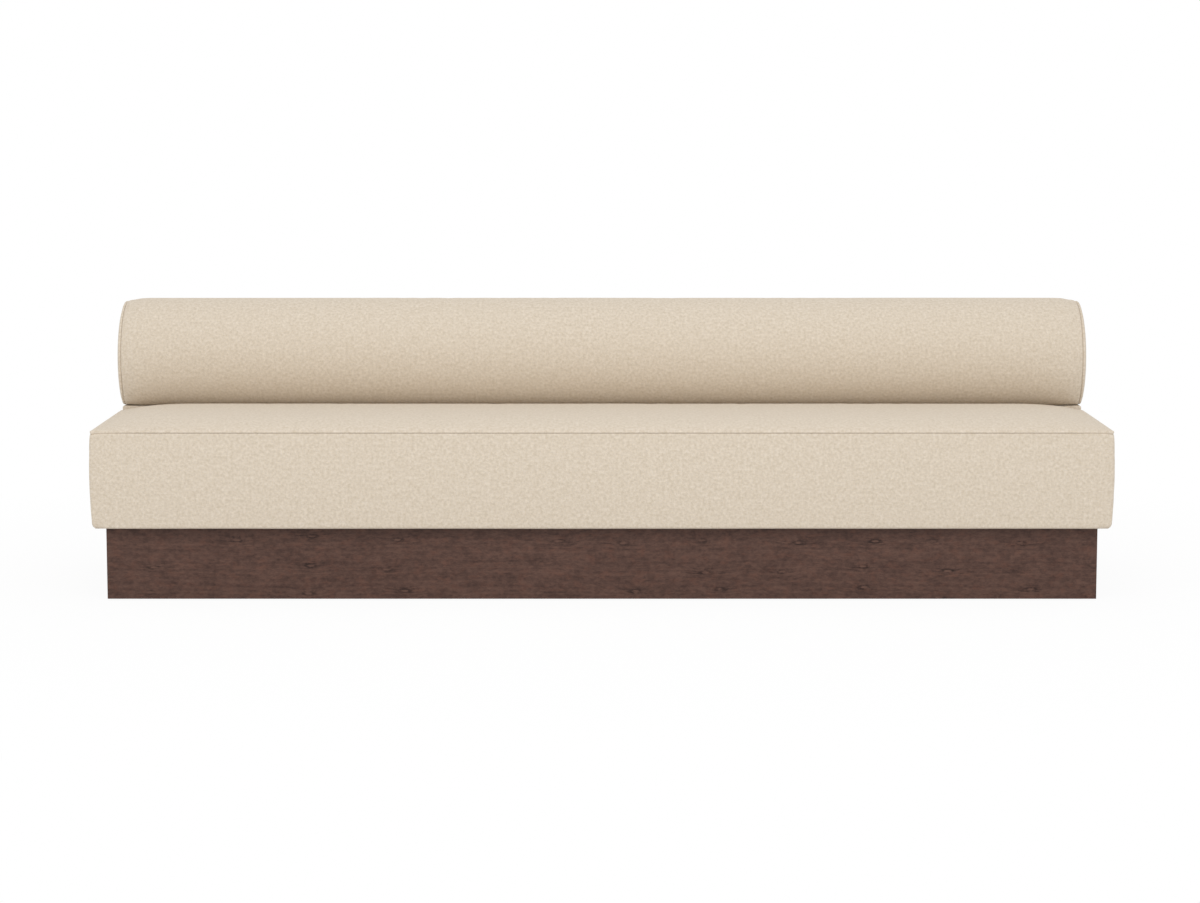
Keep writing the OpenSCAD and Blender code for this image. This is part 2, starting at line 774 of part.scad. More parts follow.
module bolster_bulkheads() {
    color(plywood_colour)
        for (x = fixing_xs) {
            side = x < 0 ? -1 : 1;
            translate([x + side * (fix_block_l + disc_t) / 2, 0, 0])
                turned_bore(core_r - tube_wall - soft_gap, disc_t / 2);
        }
}

fix_block_bottom = bolster_z - core_r + tube_wall + soft_gap;

module bolster_fixing_blocks() {
    color(softwood_colour)
        for (x = fixing_xs)
            difference() {
                intersection() {
                    centred_block(x, bolster_back - fix_block_w / 2, fix_block_bottom,
                        fix_block_l, fix_block_w, fix_block_h);
                    turned_bore(core_r - tube_wall - soft_gap, tube_half);
                }
                bores([[x, bolster_back]], insert_d, fix_block_bottom, fix_block_bottom + insert_l);
            }
}

module bolster_foam() {
    color(foam_colour) difference() {
        above(riser_top + cover_t + soft_gap) bolster_body(tube_half, cover_t + soft_gap);
        turned_bore(core_r + soft_gap, tube_half + cut_overrun);
        bores(bolster_bolt_places, bolt_hole_d, riser_top, bolster_z - core_r);
    }
}

module bolster_cover() {
    cover_half = bolster_half - cover_t;
    color(fabric_colour) difference() {
        above(riser_top) bolster_body(cover_half, 0);
        above(riser_top + cover_t) bolster_body(cover_half + cut_overrun, cover_t);
        bores(bolster_bolt_places, bolt_hole_d, riser_top, riser_top + cover_t);
    }
}

// Height of an end cap beyond the end seam at a share of the seam's radius
function dome(share) = cap_dome * (1 - dome_edge_share * pow(share, dome_edge_power_share)
    - (1 - dome_edge_share) * pow(share, dome_middle_power_share));

// A turned end piece on the side given, between two heights beyond the end seam
module end_turning(side, outline, level) {
    above(level)
        translate([0, front_y + bolster_back, bolster_z]) rotate([0, side * 90, 0])
            translate([0, 0, bolster_half]) rotate_extrude($fn = 96) polygon(outline);
}

module end_cap(side) {
    outline = concat(
        [for (share = dome_shares) [share * seam_r, dome(share)]],
        [for (i = [len(dome_shares) - 1:-1:0])
            [dome_shares[i] * seam_r, dome(dome_shares[i]) - cover_t]]);
    color(fabric_colour) end_turning(side, outline, riser_top);
}

module end_pad(side) {
    pad_r = seam_r - cover_t - soft_gap;
    outline = concat(
        [[0, -end_pad_t]],
        [for (i = [0:len(dome_shares) - 1])
            [dome_shares[i] * pad_r, dome(dome_shares[i]) - cover_t - soft_gap]],
        [[pad_r, -end_pad_t]]);
    color(foam_colour) end_turning(side, outline, riser_top + cover_t + soft_gap);
}

module bolster_end_pad_left() { end_pad(-1); }
module bolster_end_pad_right() { end_pad(1); }
module bolster_cap_left() { end_cap(-1); }
module bolster_cap_right() { end_cap(1); }

bolster_bolt_plane = riser_board_top - board_t;

module bolster_bolts() {
    color(steel_colour)
        for (place = bolster_bolt_places)
            translate([place[0], front_y + place[1], 0])
                bolt(bolster_bolt_plane - washer_t, fix_block_bottom + insert_l - washer_t);
}

module bolster_bolt_washers() {
    color(steel_colour)
        for (place = bolster_bolt_places)
            translate([place[0], front_y + place[1], 0]) washer(bolster_bolt_plane);
}

module bolster_inserts() {
    color(brass_colour)
        for (place = bolster_bolt_places)
            translate([place[0], front_y + place[1], 0])
                insert_sleeve(fix_block_bottom, bolt_d + 2 * thread_play, false);
}

plinth_front_panel();
plinth_back_panel();
plinth_left_panel();
plinth_right_panel();
plinth_webs();
plinth_battens();
foot_blocks();
foot_inserts();
foot_stem(1);  // foot_stem_1
foot_stem(2);  // foot_stem_2
foot_stem(3);  // foot_stem_3
foot_stem(4);  // foot_stem_4
foot_stem(5);  // foot_stem_5
foot_stem(6);  // foot_stem_6
foot_pad(1);  // foot_pad_1
foot_pad(2);  // foot_pad_2
foot_pad(3);  // foot_pad_3
foot_pad(4);  // foot_pad_4
foot_pad(5);  // foot_pad_5
foot_pad(6);  // foot_pad_6
seat_front_rail();
seat_middle_rail();
seat_back_rail();
seat_left_rail();
seat_right_rail();
seat_cross_rails();
seat_bolts();
seat_bolt_washers();
seat_inserts();
dust_cover();
webbing_lengthwise();
webbing_cross();
seat_foam();
seat_wadding();
border_foam_front();
border_foam_back();
border_foam_left();
border_foam_right();
riser_front_board();
riser_back_board();
riser_left_board();
riser_right_board();
riser_ribs();
riser_top_board();
riser_pad();
riser_cover();
seat_border_cover();
seat_top_cover();
bolster_core_tube();
bolster_bulkheads();
bolster_fixing_blocks();
bolster_foam();
bolster_end_pad_left();
bolster_end_pad_right();
bolster_cover();
bolster_cap_left();
bolster_cap_right();
bolster_bolts();
bolster_bolt_washers();
bolster_inserts();
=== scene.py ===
from math import atan2, copysign, cos, dist, exp, log, pi, radians, sin, sqrt, tanh

import bmesh
import bpy
from mathutils import Matrix, Vector, noise


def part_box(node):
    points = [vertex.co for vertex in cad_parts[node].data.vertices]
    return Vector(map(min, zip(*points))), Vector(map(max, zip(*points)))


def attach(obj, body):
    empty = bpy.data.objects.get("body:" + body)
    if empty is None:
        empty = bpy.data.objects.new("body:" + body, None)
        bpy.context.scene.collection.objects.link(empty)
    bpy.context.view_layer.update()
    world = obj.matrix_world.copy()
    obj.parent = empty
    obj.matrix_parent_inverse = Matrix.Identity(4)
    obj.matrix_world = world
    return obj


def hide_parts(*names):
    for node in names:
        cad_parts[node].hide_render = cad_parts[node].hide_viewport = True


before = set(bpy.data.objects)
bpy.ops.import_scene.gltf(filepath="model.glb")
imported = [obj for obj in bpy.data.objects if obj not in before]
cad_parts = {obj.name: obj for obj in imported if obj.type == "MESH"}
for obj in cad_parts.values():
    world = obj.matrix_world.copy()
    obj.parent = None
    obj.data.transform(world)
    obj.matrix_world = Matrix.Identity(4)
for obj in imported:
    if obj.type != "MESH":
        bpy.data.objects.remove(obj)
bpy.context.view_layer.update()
MM = 0.001
QUARTER = pi / 2
SHARP_ANGLE = radians(35)
# Points nearer than this are one point
SAME_PLACE = 0.02 * MM
# How far the covers wander from an even shape
WANDER = 0.5 * MM

# Sizes of the seat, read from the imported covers
BAND_LOW, BAND_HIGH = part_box("seat_border_cover")
TOP_LOW, TOP_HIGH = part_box("seat_top_cover")
RISER_LOW, RISER_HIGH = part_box("riser_cover")
SEAM_PULL = 2 * MM
HALF_LEN = TOP_HIGH.x + SEAM_PULL
FRONT_Y = TOP_LOW.y - SEAM_PULL
SEAT_DEPTH = TOP_HIGH.y - FRONT_Y
FRAME_DEPTH = BAND_HIGH.y + BAND_LOW.y - 2 * FRONT_Y
FRAME_MID_Y = (BAND_HIGH.y + BAND_LOW.y) / 2
SEAM_Z = BAND_HIGH.z
BASE_Z = BAND_LOW.z
FLAP_Z = TOP_LOW.z
RISER_INSET = HALF_LEN - RISER_HIGH.x

# The shape of the seat's faces
BULGE = 3.6 * MM
DRAW_IN = 2 * MM
DRAW_POWER = 1.5
HEM_R = 8 * MM
HEM_CORNER_R = 9 * MM
HEM_CORNER_RUN = 70 * MM
HEM_DROP = 0.6 * MM
HEM_IN = HALF_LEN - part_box("dust_cover")[1].x
HEM_WANDER_RISE = 60 * MM
TUCK_DROP = 0.3 * MM
CORNER_R = 8 * MM
CORNER_MIN_R = 0.5 * MM
CLOTH_T = 1.2 * MM

# The seat's crown; the room is what its cloth and its swelling take up
EDGE_LIFT = 4.4 * MM
CROWN_ROOM = 1.6 * MM
CROWN_H = TOP_HIGH.z - SEAM_Z - EDGE_LIFT - CROWN_ROOM
CROWN_RUN_END = 260 * MM
CROWN_RUN_FRONT = 200 * MM
CROWN_RUN_REAR = 140 * MM
CROWN_POWER = 3.2

# The rear of the top panel rolls down in front of the riser; the gap is between the flap and the riser, the
# play and the taper draw the flap's ends in, and the slack is the cloth that the roll takes up
REAR_ROLL = 9 * MM
REAR_ROLL_DROP = 8 * MM
FLAP_GAP = 0.15 * MM
FLAP_PLAY = 0.3 * MM
FLAP_TAPER = 0.3
FLAP_SLACK = 14 * MM

# The top panel's dense rows beside its seam, and where its even rows begin
EDGE_STEPS = [x * MM for x in (0, 1, 2, 3, 4, 5, 6, 8, 12, 18, 26)]
EDGE_END = 38 * MM

# The plain seam: how the top panel and the band roll into their groove, in millimetres
# from the seat's face and from the seam's level
TOP_ROLL = ((0, 2.2, -0.25), (1, 1.4, 0.4), (2, 0.7, 1.0), (3, 0.25, 1.9), (4, 0.25, 3.0), (5, 1.1, 3.9),
    (6, 2.7, 4.4), (8, 8.0, 4.4))
BAND_ROLL = ((-2.2, 0.25), (-1.4, -0.5), (-0.6, -1.2), (-0.1, -2.2), (0.2, -3.6), (0.4, -6))
SEAM_DIP = 4.5 * MM
SEAM_DIP_RUN = 40 * MM
SEAM_DIP_DEPTH = 30 * MM
SEAM_OPENING = 1.2
SEAM_NIP = 1.3
SEAM_NIP_STEP = 4 * MM
SEAM_SAG = 1.8 * MM
GROOVE_ROOM = 4 * MM

# The bolster; the foam room and the rest play keep its foam and its cover clear of what they touch
BOLSTER_LOW, BOLSTER_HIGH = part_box("bolster_cover")
BOLSTER_R = (BOLSTER_HIGH.y - BOLSTER_LOW.y) / 2
BOLSTER_Y = (BOLSTER_HIGH.y + BOLSTER_LOW.y) / 2
BOLSTER_Z = BOLSTER_HIGH.z - BOLSTER_R
BOLSTER_FLAT_Z = BOLSTER_LOW.z
CAP_DOME = 16.5 * MM
CAP_SETTLE = 1.4 * MM
FOAM_ROOM = 2.6 * MM
BOLSTER_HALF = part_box("bolster_cap_right")[1].x - CAP_DOME
FLAT_SOFTNESS = 4.5 * MM
REST_PLAY = 0.1 * MM
BOLSTER_SIDES = 64
CAP_RINGS = (0.968, 0.945, 0.91, 0.87, 0.81, 0.74, 0.64, 0.52, 0.38, 0.2, 0.0)
# How far the caps lie from the middle of the flat cloth, in metres
CAP_CLOTH_APART = 4
DOME_EDGE_SHARE = 0.62
DOME_EDGE_POWER = 26
DOME_MIDDLE_POWER = 2.6
# How far the cover is pulled in towards its end seam: millimetres from the seam, millimetres in
END_PULL = ((0, 8.0), (8, 6.1), (20, 4.4), (28, 2.9), (37, 1.3), (50, 0.6), (64, 0))
# How the cover and the caps roll into the end seams, in millimetres: from the seam's plane
# and below the pinched end
TUBE_ROLL = ((0.05, 3.2), (0.6, 2.0), (1.5, 0.9), (2.7, 0.3), (5.0, 0))
CAP_ROLL = ((-0.05, 3.2), (0.6, 2.0), (1.7, 1.0), (3.4, 0.5), (5.6, 1.0), (7.4, 2.6))

# The short simulation in which the covers swell; a grip is how firmly they are held between their seams
TOP_GRIP = 0.25
SIDE_GRIP = 0.3
SETTLE_FRAMES = 16
CLOTH_SETTINGS = {"quality": 5, "mass": 0.2, "tension_stiffness": 18, "compression_stiffness": 18,
    "shear_stiffness": 8, "bending_stiffness": 0.8, "vertex_group_mass": "held", "pin_stiffness": 2.0,
    "use_pressure": True, "shrink_min": -0.002}

# The layers under the covers, the lining and the webbing
SLAB_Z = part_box("seat_foam")[0].z
UNDER_COVER = 2.3 * MM
WADDING_T = 6 * MM
LAYER_GAP = 0.3 * MM
LINING_T = 0.4 * MM
LINING_RIPPLE = 0.8 * MM
LONG_STRAPS_LOW, LONG_STRAPS_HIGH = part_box("webbing_lengthwise")
CROSS_STRAPS_LOW, CROSS_STRAPS_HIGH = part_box("webbing_cross")
WEB_ROOM = CROSS_STRAPS_HIGH.z - LONG_STRAPS_LOW.z
STRAP_W = 50 * MM
STRAP_T = 1.4 * MM
STRAP_PLAY = 0.05 * MM
STRAP_FOLD = 28 * MM
STRAPS_ALONG = 5
STRAPS_ACROSS = 20

# The levelling stems; the thread's flank is its steepness and its crest the width left flat
STEM_R = 3.96 * MM
STEM_COLLAR_H = 4 * MM
STEM_CHAMFER = 0.9 * MM
HEX_TURN = radians(30)
THREAD_PITCH = 1.25 * MM
THREAD_DEPTH = 0.62 * MM
THREAD_FLANK = 3.2
THREAD_CREST = 0.3

# Floor, light and camera; the floor goes from pale to white between the first two distances
WHITE = (1, 1, 1, 1)
FLOOR_COLOUR = (0.9, 0.9, 0.9, 1)
FLOOR_REACH = 30
FLOOR_FADE = (1.5, 2.6, 0.93, 1.0)
WORLD_LEVEL = 0.84
LAMP_PLACE = Vector((0, -4.0, 4.0))
LAMP_AIM = Vector((0, 0, 0.4))
LAMP_SIZE = (6.0, 2.5)
LAMP_POWER = 80
SENSOR_WIDTH = 36
LENS_LENGTH = 90
PICTURE_SHIFT = -1.9 / 1200
CAMERA_AWAY = 7.968
CAMERA_HEIGHT = 1.386
CAMERA_TILT = radians(7)


def step_along(points, at):
    """Straight-line reading of a table of (place, value, ...) rows."""
    for low, high in zip(points, points[1:]):
        if at <= high[0]:
            share = max(0, (at - low[0]) / (high[0] - low[0]))
            return [a + share * (b - a) for a, b in zip(low[1:], high[1:])]
    return list(points[-1][1:])


def rise(distance, run):
    """From 0 to 1 over the run, steep at first."""
    return 1 - (1 - min(distance / run, 1)) ** CROWN_POWER


def spread(start, end, pitch):
    """Evenly spaced places from start to end, both included."""
    count = max(1, round(abs(end - start) / pitch))
    return [start + (end - start) * i / count for i in range(count + 1)]


def wander(place, size, seed):
    """Smooth random value from -1 to 1 that changes over a length of size."""
    return noise.noise(Vector(place) / size + Vector((seed * 7.3, seed * 3.1, seed * 5.7)))


def soft_least(first, second, softness):
    """The lesser value, a little less where the two are close."""
    low, gap = min(first, second), abs(first - second)
    return low - softness * log(1 + exp(-gap / softness))


# Shader building

# How far yarns stray, in metres; how round a yarn is along its run and across it; the lie of its fibres
YARN_STRAY = 0.0011
YARN_RUN_POWER, YARN_SIDE_POWER = 0.26, 0.7
YARN_TWIST = (0, 0, 0.35)
# The middle of the heathered tones, and how many eyes a metre of veneer has along and up
HEATHER_MIDDLE = 0.57
EYES_PER_X, EYES_PER_Z = 4.7, 14.0


def add_node(tree, kind, links=(), **settings):
    """A shader node with its inputs linked to sockets or set to values."""
    made = tree.nodes.new("ShaderNode" + kind)
    for key, value in settings.items():
        setattr(made, key, value)
    for socket, source in links:
        if isinstance(source, bpy.types.NodeSocket):
            tree.links.new(source, made.inputs[socket])
        else:
            made.inputs[socket].default_value = source
    return made


def node_on(kind, links, **settings):
    """The outputs of a new node in the tree that the sockets linked to it belong to."""
    sockets = [source for _, source in links if isinstance(source, bpy.types.NodeSocket)]
    return add_node(sockets[0].id_data, kind, links, **settings).outputs


def math_node(operation, first, second=0.0, clamp=False):
    return node_on("Math", [(0, first), (1, second)], operation=operation, use_clamp=clamp)[0]


def product(first, *others):
    for other in others:
        first = math_node("MULTIPLY", first, other)
    return first


def total(first, *others, clamp=False):
    for other in others[:-1]:
        first = math_node("ADD", first, other)
    return math_node("ADD", first, others[-1], clamp)


def weighed(*shares, clamp=False):
    """Sum of (value, low, weight) shares, each value read from low..1 - low as 0..1."""
    terms = [product(ramp(value, low, 1 - low), weight) for value, low, weight in shares]
    return total(*terms, clamp=clamp)


def blend_colour(share, first, second, kind="MIX"):
    return node_on("Mix", [(0, share), (6, first), (7, second)], data_type="RGBA", blend_type=kind)[2]


def pick(choice, first, second):
    """The first value where choice is 0 and the second where it is 1."""
    return node_on("Mix", [(0, choice), (2, first), (3, second)])[0]


def vector_node(operation, first, second=(0, 0, 0)):
    socket = "Scale" if operation == "SCALE" else 1
    return node_on("VectorMath", [(0, first), (socket, second)], operation=operation)[0]


def parts_of(vector):
    return node_on("SeparateXYZ", [(0, vector)])


def joined(x, y, z=0.0):
    return node_on("CombineXYZ", [(0, x), (1, y), (2, z)])[0]


def ramp(value, low, high, to_low=0.0, to_high=1.0):
    """Remaps a value from low..high to to_low..to_high, clamped."""
    return node_on("MapRange", [("Value", value), ("From Min", low), ("From Max", high), ("To Min", to_low),
        ("To Max", to_high)])[0]


def speckle(vector, scale, detail=2.0, roughness=0.5):
    return node_on("TexNoise",
        [("Vector", vector), ("Scale", scale), ("Detail", detail), ("Roughness", roughness)])["Fac"]


def scaled(vector, scale, turn=(0, 0, 0)):
    return node_on("Mapping", [("Vector", vector), ("Scale", scale), ("Rotation", turn)])[0]


def new_group(name, *numbers, colours=("Light", "Dark")):
    """A shader group that takes a vector, numbers and colours: its inputs and its output node."""
    tree = bpy.data.node_groups.new(name, "ShaderNodeTree")
    taken = [("Vector", "Vector")] + [(c, "Color") for c in colours] + [(n, "Float") for n in numbers]
    for socket, kind in taken:
        tree.interface.new_socket(socket, in_out="INPUT", socket_type="NodeSocket" + kind)
    for socket, kind in (("Color", "Color"), ("Roughness", "Float"), ("Height", "Float")):
        tree.interface.new_socket(socket, in_out="OUTPUT", socket_type="NodeSocket" + kind)
    return tree.nodes.new("NodeGroupInput").outputs, tree.nodes.new("NodeGroupOutput")


def give(result, **fields):
    """Links fields to a group's outputs and returns the group."""
    for socket, field in fields.items():
        result.id_data.links.new(field, result.inputs[socket])
    return result.id_data


def woven_cloth_group():
    """Plain weave of spun yarns with heathered colour and painted shade between the yarns. The vector is in
    metres on the cloth.
    """
    given, result = new_group("woven_cloth", "Yarn", "Fleck Size", "Fleck")
    flat, yarn = given["Vector"], given["Yarn"]

    # Yarns stray a little from straight; counted is the place in yarns instead of metres
    stray = node_on("TexNoise", [("Vector", flat), ("Scale", 140.0), ("Detail", 2.0)])["Color"]
    stray = vector_node("SUBTRACT", stray, (0.5, 0.5, 0.5))
    lain = vector_node("ADD", flat, vector_node("SCALE", stray, YARN_STRAY))
    counted = vector_node("DIVIDE", lain, joined(yarn, yarn, yarn))
    count = parts_of(counted)
    number = parts_of(vector_node("FLOOR", counted))
    across = math_node("SINE", product(count[0], pi))
    along = math_node("SINE", product(count[1], pi))
    warp_up = math_node("GREATER_THAN", product(across, along), 0.0)
    across, along = math_node("ABSOLUTE", across), math_node("ABSOLUTE", along)
    crest = pick(warp_up, *(
        product(math_node("POWER", across, first), math_node("POWER", along, second))
        for first, second in ((YARN_RUN_POWER, YARN_SIDE_POWER), (YARN_SIDE_POWER, YARN_RUN_POWER))))

    # Weft yarns come first in each pair, warp yarns second
    fibre = pick(warp_up, *(speckle(scaled(lain, size, YARN_TWIST), 1.0)
        for size in ((700, 4200, 700), (4200, 700, 700))))
    yarn_tone = pick(warp_up, *(speckle(scaled(counted, size), 1.0, 1.0)
        for size in ((0.12, 0.83, 1), (0.83, 0.12, 1))))
    on_yarn = node_on("Mix", [(0, warp_up), (4, joined(count[0], number[1])), (5, joined(number[0], count[1]))],
        data_type="VECTOR")[1]
    on_yarn = vector_node("SCALE", on_yarn, yarn)
    slub = speckle(flat, 420.0, 3.0, 0.6)

    flecks = math_node("DIVIDE", 1.0, given["Fleck Size"])
    broad = speckle(lain, product(flecks, 0.3))
    big = total(speckle(on_yarn, flecks, 3.0, 0.62), ramp(broad, 0.3, 0.7, -0.035, 0.035))
    small = speckle(on_yarn, product(flecks, 3.3), 2.0, 0.6)
    tone = weighed((big, 0.3, 0.5), (small, 0.3, 0.24), (fibre, 0.3, 0.24), (yarn_tone, 0.3, 0.16))
    tone = product(math_node("SUBTRACT", tone, HEATHER_MIDDLE), given["Fleck"])
    tone = total(tone, 0.5, clamp=True)
    tone = total(tone, ramp(speckle(flat, 90.0), 0.2, 0.8, -0.05, 0.05), clamp=True)
    warmth = speckle(lain, product(flecks, 1.9), 2.0, 0.6)
    tint = blend_colour(ramp(warmth, 0.35, 0.65), (1.0, 0.99, 0.96, 1), (0.99, 1.0, 1.03, 1))
    colour = blend_colour(tone, given["Dark"], given["Light"])
    colour = blend_colour(1.0, colour, tint, "MULTIPLY")
    # The colour is multiplied down where the yarns dip: painted shade in the hollows between the yarns
    return give(result,
        Color=blend_colour(1.0, colour, ramp(crest, 0.0, 0.7, 0.9, 1.01), "MULTIPLY"),
        Roughness=ramp(slub, 0.2, 0.8, 0.8, 0.97),
        Height=total(product(crest, 0.55), product(fibre, 0.3), product(slub, 0.4)))


def timber_group():
    """Grain along X: growth bands, flecks, short dark pores and small eyes that the growth lines flow round."""
    given, result = new_group("timber", "Band Width", "Fleck Size", "Fleck Run", "Pores", "Eyes", "Blushing",
        colours=("Light", "Dark", "Pore", "Blush"))
    wood = given["Vector"]
    x, y, z = parts_of(wood)

    # Eyes: each has a pale heart and a dark rim, and the growth lines ripple round it
    cell = node_on("TexVoronoi",
        [("Vector", joined(product(x, EYES_PER_X), product(z, EYES_PER_Z))), ("Scale", 1.0),
            ("Randomness", 0.5)], feature="F1", voronoi_dimensions="2D")
    away = cell["Distance"]
    luck = node_on("SeparateColor", [(0, cell["Color"])])[0]
    strength = product(ramp(luck, 0.2, 0.65), given["Eyes"])
    heart = product(ramp(away, 0.025, 0.055, 1.0, 0.0), strength)
    rim = product(ramp(away, 0.03, 0.055), ramp(away, 0.07, 0.11, 1.0, 0.0), strength)
    ripple = product(ramp(away, 0.08, 0.34, 1.0, 0.0), strength)

    sway = speckle(scaled(wood, (3, 9, 9)), 1.0)
    flutter = speckle(scaled(wood, (26, 60, 60)), 1.0)
    bent = total(z, product(sway, 0.03), product(ripple, 0.007), product(flutter, 0.006))
    ring = math_node("DIVIDE", total(bent, product(y, 0.7)), given["Band Width"])
    band, arcs = (node_on("TexNoise", [("W", ring), ("Scale", scale), ("Detail", detail)],
        noise_dimensions="1D")["Fac"] for scale, detail in ((1.0, 2.0), (1.9, 1.0)))
    squeezed = joined(math_node("DIVIDE", x, given["Fleck Run"]), y, bent)
    flecks = math_node("DIVIDE", 1.0, given["Fleck Size"])
    fleck = speckle(squeezed, flecks, 4.0, 0.62)
    cloud = speckle(squeezed, product(flecks, 0.2), 3.0, 0.6)
    blush = speckle(squeezed, product(flecks, 0.35), 3.0, 0.7)
    fibre = speckle(scaled(wood, (85, 1500, 1500)), 1.0)
    pores = speckle(scaled(wood, (75, 1050, 1050)), 1.0, 1.0)

    tone = weighed((band, 0.3, 0.2), (fleck, 0.34, 0.4), (cloud, 0.32, 0.24), (fibre, 0.3, 0.12),
        clamp=True)
    colour = blend_colour(tone, given["Dark"], given["Light"])
    rosy = product(ramp(blush, 0.5, 0.72), given["Blushing"])
    colour = blend_colour(rosy, colour, given["Blush"])
    colour = blend_colour(product(heart, 0.7), colour, given["Light"])
    pore = product(ramp(pores, 0.6, 0.7), given["Pores"])
    arc = math_node("MAXIMUM", product(ramp(arcs, 0.5, 0.64), ripple), rim)
    arc = product(arc, ramp(fleck, 0.36, 0.58, 1.0, 0.25))
    return give(result,
        Color=blend_colour(math_node("MAXIMUM", pore, arc), colour, given["Pore"]),
        Roughness=ramp(tone, 0.0, 1.0, 0.52, 0.4),
        Height=math_node("SUBTRACT", product(fibre, 0.4), pore))


def cell_foam_group():
    """Open foam cells, darker in their hollows with painted shade, and a slightly uneven tone."""
    given, result = new_group("cell_foam", "Cell")
    size = math_node("DIVIDE", 1.0, given["Cell"])
    cells = node_on("TexVoronoi", [("Vector", given["Vector"]), ("Scale", size)], feature="F1")
    hole = ramp(cells["Distance"], 0.1, 0.6)
    patch_tone = speckle(given["Vector"], 24.0, 3.0)
    # Dark in the cell hollows is painted shade; the patch tone is the foam's real uneven tone
    shade = product(hole, ramp(patch_tone, 0.2, 0.8, 0.75, 1.0))
    return give(result, Color=blend_colour(shade, given["Dark"], given["Light"]),
        Roughness=ramp(patch_tone, 0.2, 0.8, 0.85, 1.0), Height=hole)


def handled_metal_group():
    """Plated metal with fine scratches and dull patches."""
    given, result = new_group("handled_metal", "Polish")
    cloud = speckle(given["Vector"], 160.0, 4.0)
    scratch = speckle(scaled(given["Vector"], (4200, 300, 300)), 1.0)
    colour = blend_colour(ramp(cloud, 0.3, 0.75), given["Dark"], given["Light"])
    dull = total(given["Polish"], ramp(cloud, 0.3, 0.8, 0.12, -0.05), product(scratch, 0.08))
    return give(result, Color=colour, Roughness=dull, Height=scratch)


GROUPS = {
    "cloth": woven_cloth_group(),
    "timber": timber_group(),
    "foam": cell_foam_group(),
    "metal": handled_metal_group(),
}


def finish_of(name, group, light, dark, values, relief, coordinates="Object", turn=None, **fixed):
    """A material with a group's pattern, relief as (strength, depth) and fixed plain shader values."""
    material = bpy.data.materials.new(name)
    material.use_nodes = True
    tree = material.node_tree
    shader = tree.nodes["Principled BSDF"]
    place = add_node(tree, "TexCoord").outputs[coordinates]
    if turn:
        place = scaled(place, (1, 1, 1), turn)
    given = [("Vector", place), ("Light", rgb(light)), ("Dark", rgb(dark)), *values.items()]
    pattern = add_node(tree, "Group", given, node_tree=GROUPS[group])
    bump = add_node(tree, "Bump",
        [("Strength", relief[0]), ("Distance", relief[1]), ("Height", pattern.outputs["Height"])])
    tree.links.new(pattern.outputs["Color"], shader.inputs["Base Color"])
    tree.links.new(pattern.outputs["Roughness"], shader.inputs["Roughness"])
    tree.links.new(bump.outputs[0], shader.inputs["Normal"])
    for key, value in fixed.items():
        shader.inputs[key.replace("_", " ")].default_value = value
    return material


def timber_finishes(name, light, dark, values, relief, *grains, **fixed):
    """One timber finish for each way that the grain runs."""
    return {grain: finish_of(f"{name}_{grain}", "timber", light, dark, values, relief,
        turn=GRAIN_TURNS[grain], **fixed) for grain in grains}


def rgb(seen):
    """A colour as seen, from 0 to 255, made linear."""
    shares = (value / 255 for value in seen)
    return *(v / 12.92 if v <= 0.04045 else ((v + 0.055) / 1.055) ** 2.4 for v in shares), 1.0


GRAIN_TURNS = {"along": (0, 0, 0), "across": (0, 0, QUARTER), "upright": (0, QUARTER, 0)}
COVER = finish_of("cover_fabric", "cloth", (233, 221, 205), (202, 187, 165),
    {"Yarn": 0.0017, "Fleck Size": 0.0078, "Fleck": 1.4}, (0.6, 0.5 * MM), "UV",
    Sheen_Weight=0.12, Sheen_Roughness=0.5, Specular_IOR_Level=0.2)
LINING = finish_of("lining", "cloth", (52, 52, 56), (28, 28, 31),
    {"Yarn": 0.0006, "Fleck Size": 0.002, "Fleck": 1.0}, (0.5, 0.2 * MM), "UV", Specular_IOR_Level=0.2)
WEBBING = finish_of("webbing", "cloth", (168, 132, 96), (112, 80, 54),
    {"Yarn": 0.0022, "Fleck Size": 0.004, "Fleck": 0.8}, (0.8, 0.6 * MM), "UV", Specular_IOR_Level=0.2)
WADDING = finish_of("wadding", "cloth", (246, 246, 243), (226, 226, 220),
    {"Yarn": 0.004, "Fleck Size": 0.012, "Fleck": 0.7}, (0.6, 1.5 * MM), "UV",
    Sheen_Weight=0.3, Specular_IOR_Level=0.1)
WALNUT = timber_finishes("walnut_veneer", (110, 82, 71), (58, 40, 35),
    {"Pore": rgb((33, 20, 17)), "Blush": rgb((116, 76, 61)), "Band Width": 0.009, "Fleck Size": 0.0072,
        "Fleck Run": 1.9, "Pores": 0.5, "Eyes": 0.9, "Blushing": 0.35},
    (0.35, 0.3 * MM), "along", "across", Specular_IOR_Level=0.2)
PINE = timber_finishes("softwood", (226, 196, 146), (196, 152, 98),
    {"Pore": rgb((150, 100, 56)), "Band Width": 0.012, "Fleck Size": 0.0024, "Fleck Run": 30.0, "Pores": 0.15,
        "Eyes": 0.3},
    (0.3, 0.3 * MM), "along", "across", "upright")
PLYWOOD = timber_finishes("plywood", (222, 192, 148), (186, 146, 100),
    {"Pore": rgb((150, 108, 68)), "Band Width": 0.004, "Fleck Size": 0.002, "Fleck Run": 24.0, "Pores": 0.2,
        "Eyes": 0.1},
    (0.3, 0.3 * MM), "along", "across")
PAPER = finish_of("paper_tube", "timber", (188, 150, 106), (160, 122, 82),
    {"Pore": rgb((120, 88, 56)), "Band Width": 0.03, "Fleck Size": 0.003, "Fleck Run": 4.0, "Pores": 0.1,
        "Eyes": 0.0},
    (0.2, 0.2 * MM))
FOAM = finish_of("foam", "foam", (240, 230, 200), (196, 178, 132), {"Cell": 0.0016}, (0.8, 0.8 * MM),
    Specular_IOR_Level=0.1)
ZINC = finish_of("zinc_steel", "metal", (214, 216, 220), (168, 172, 178), {"Polish": 0.32}, (0.15, 0.1 * MM),
    Metallic=1.0)
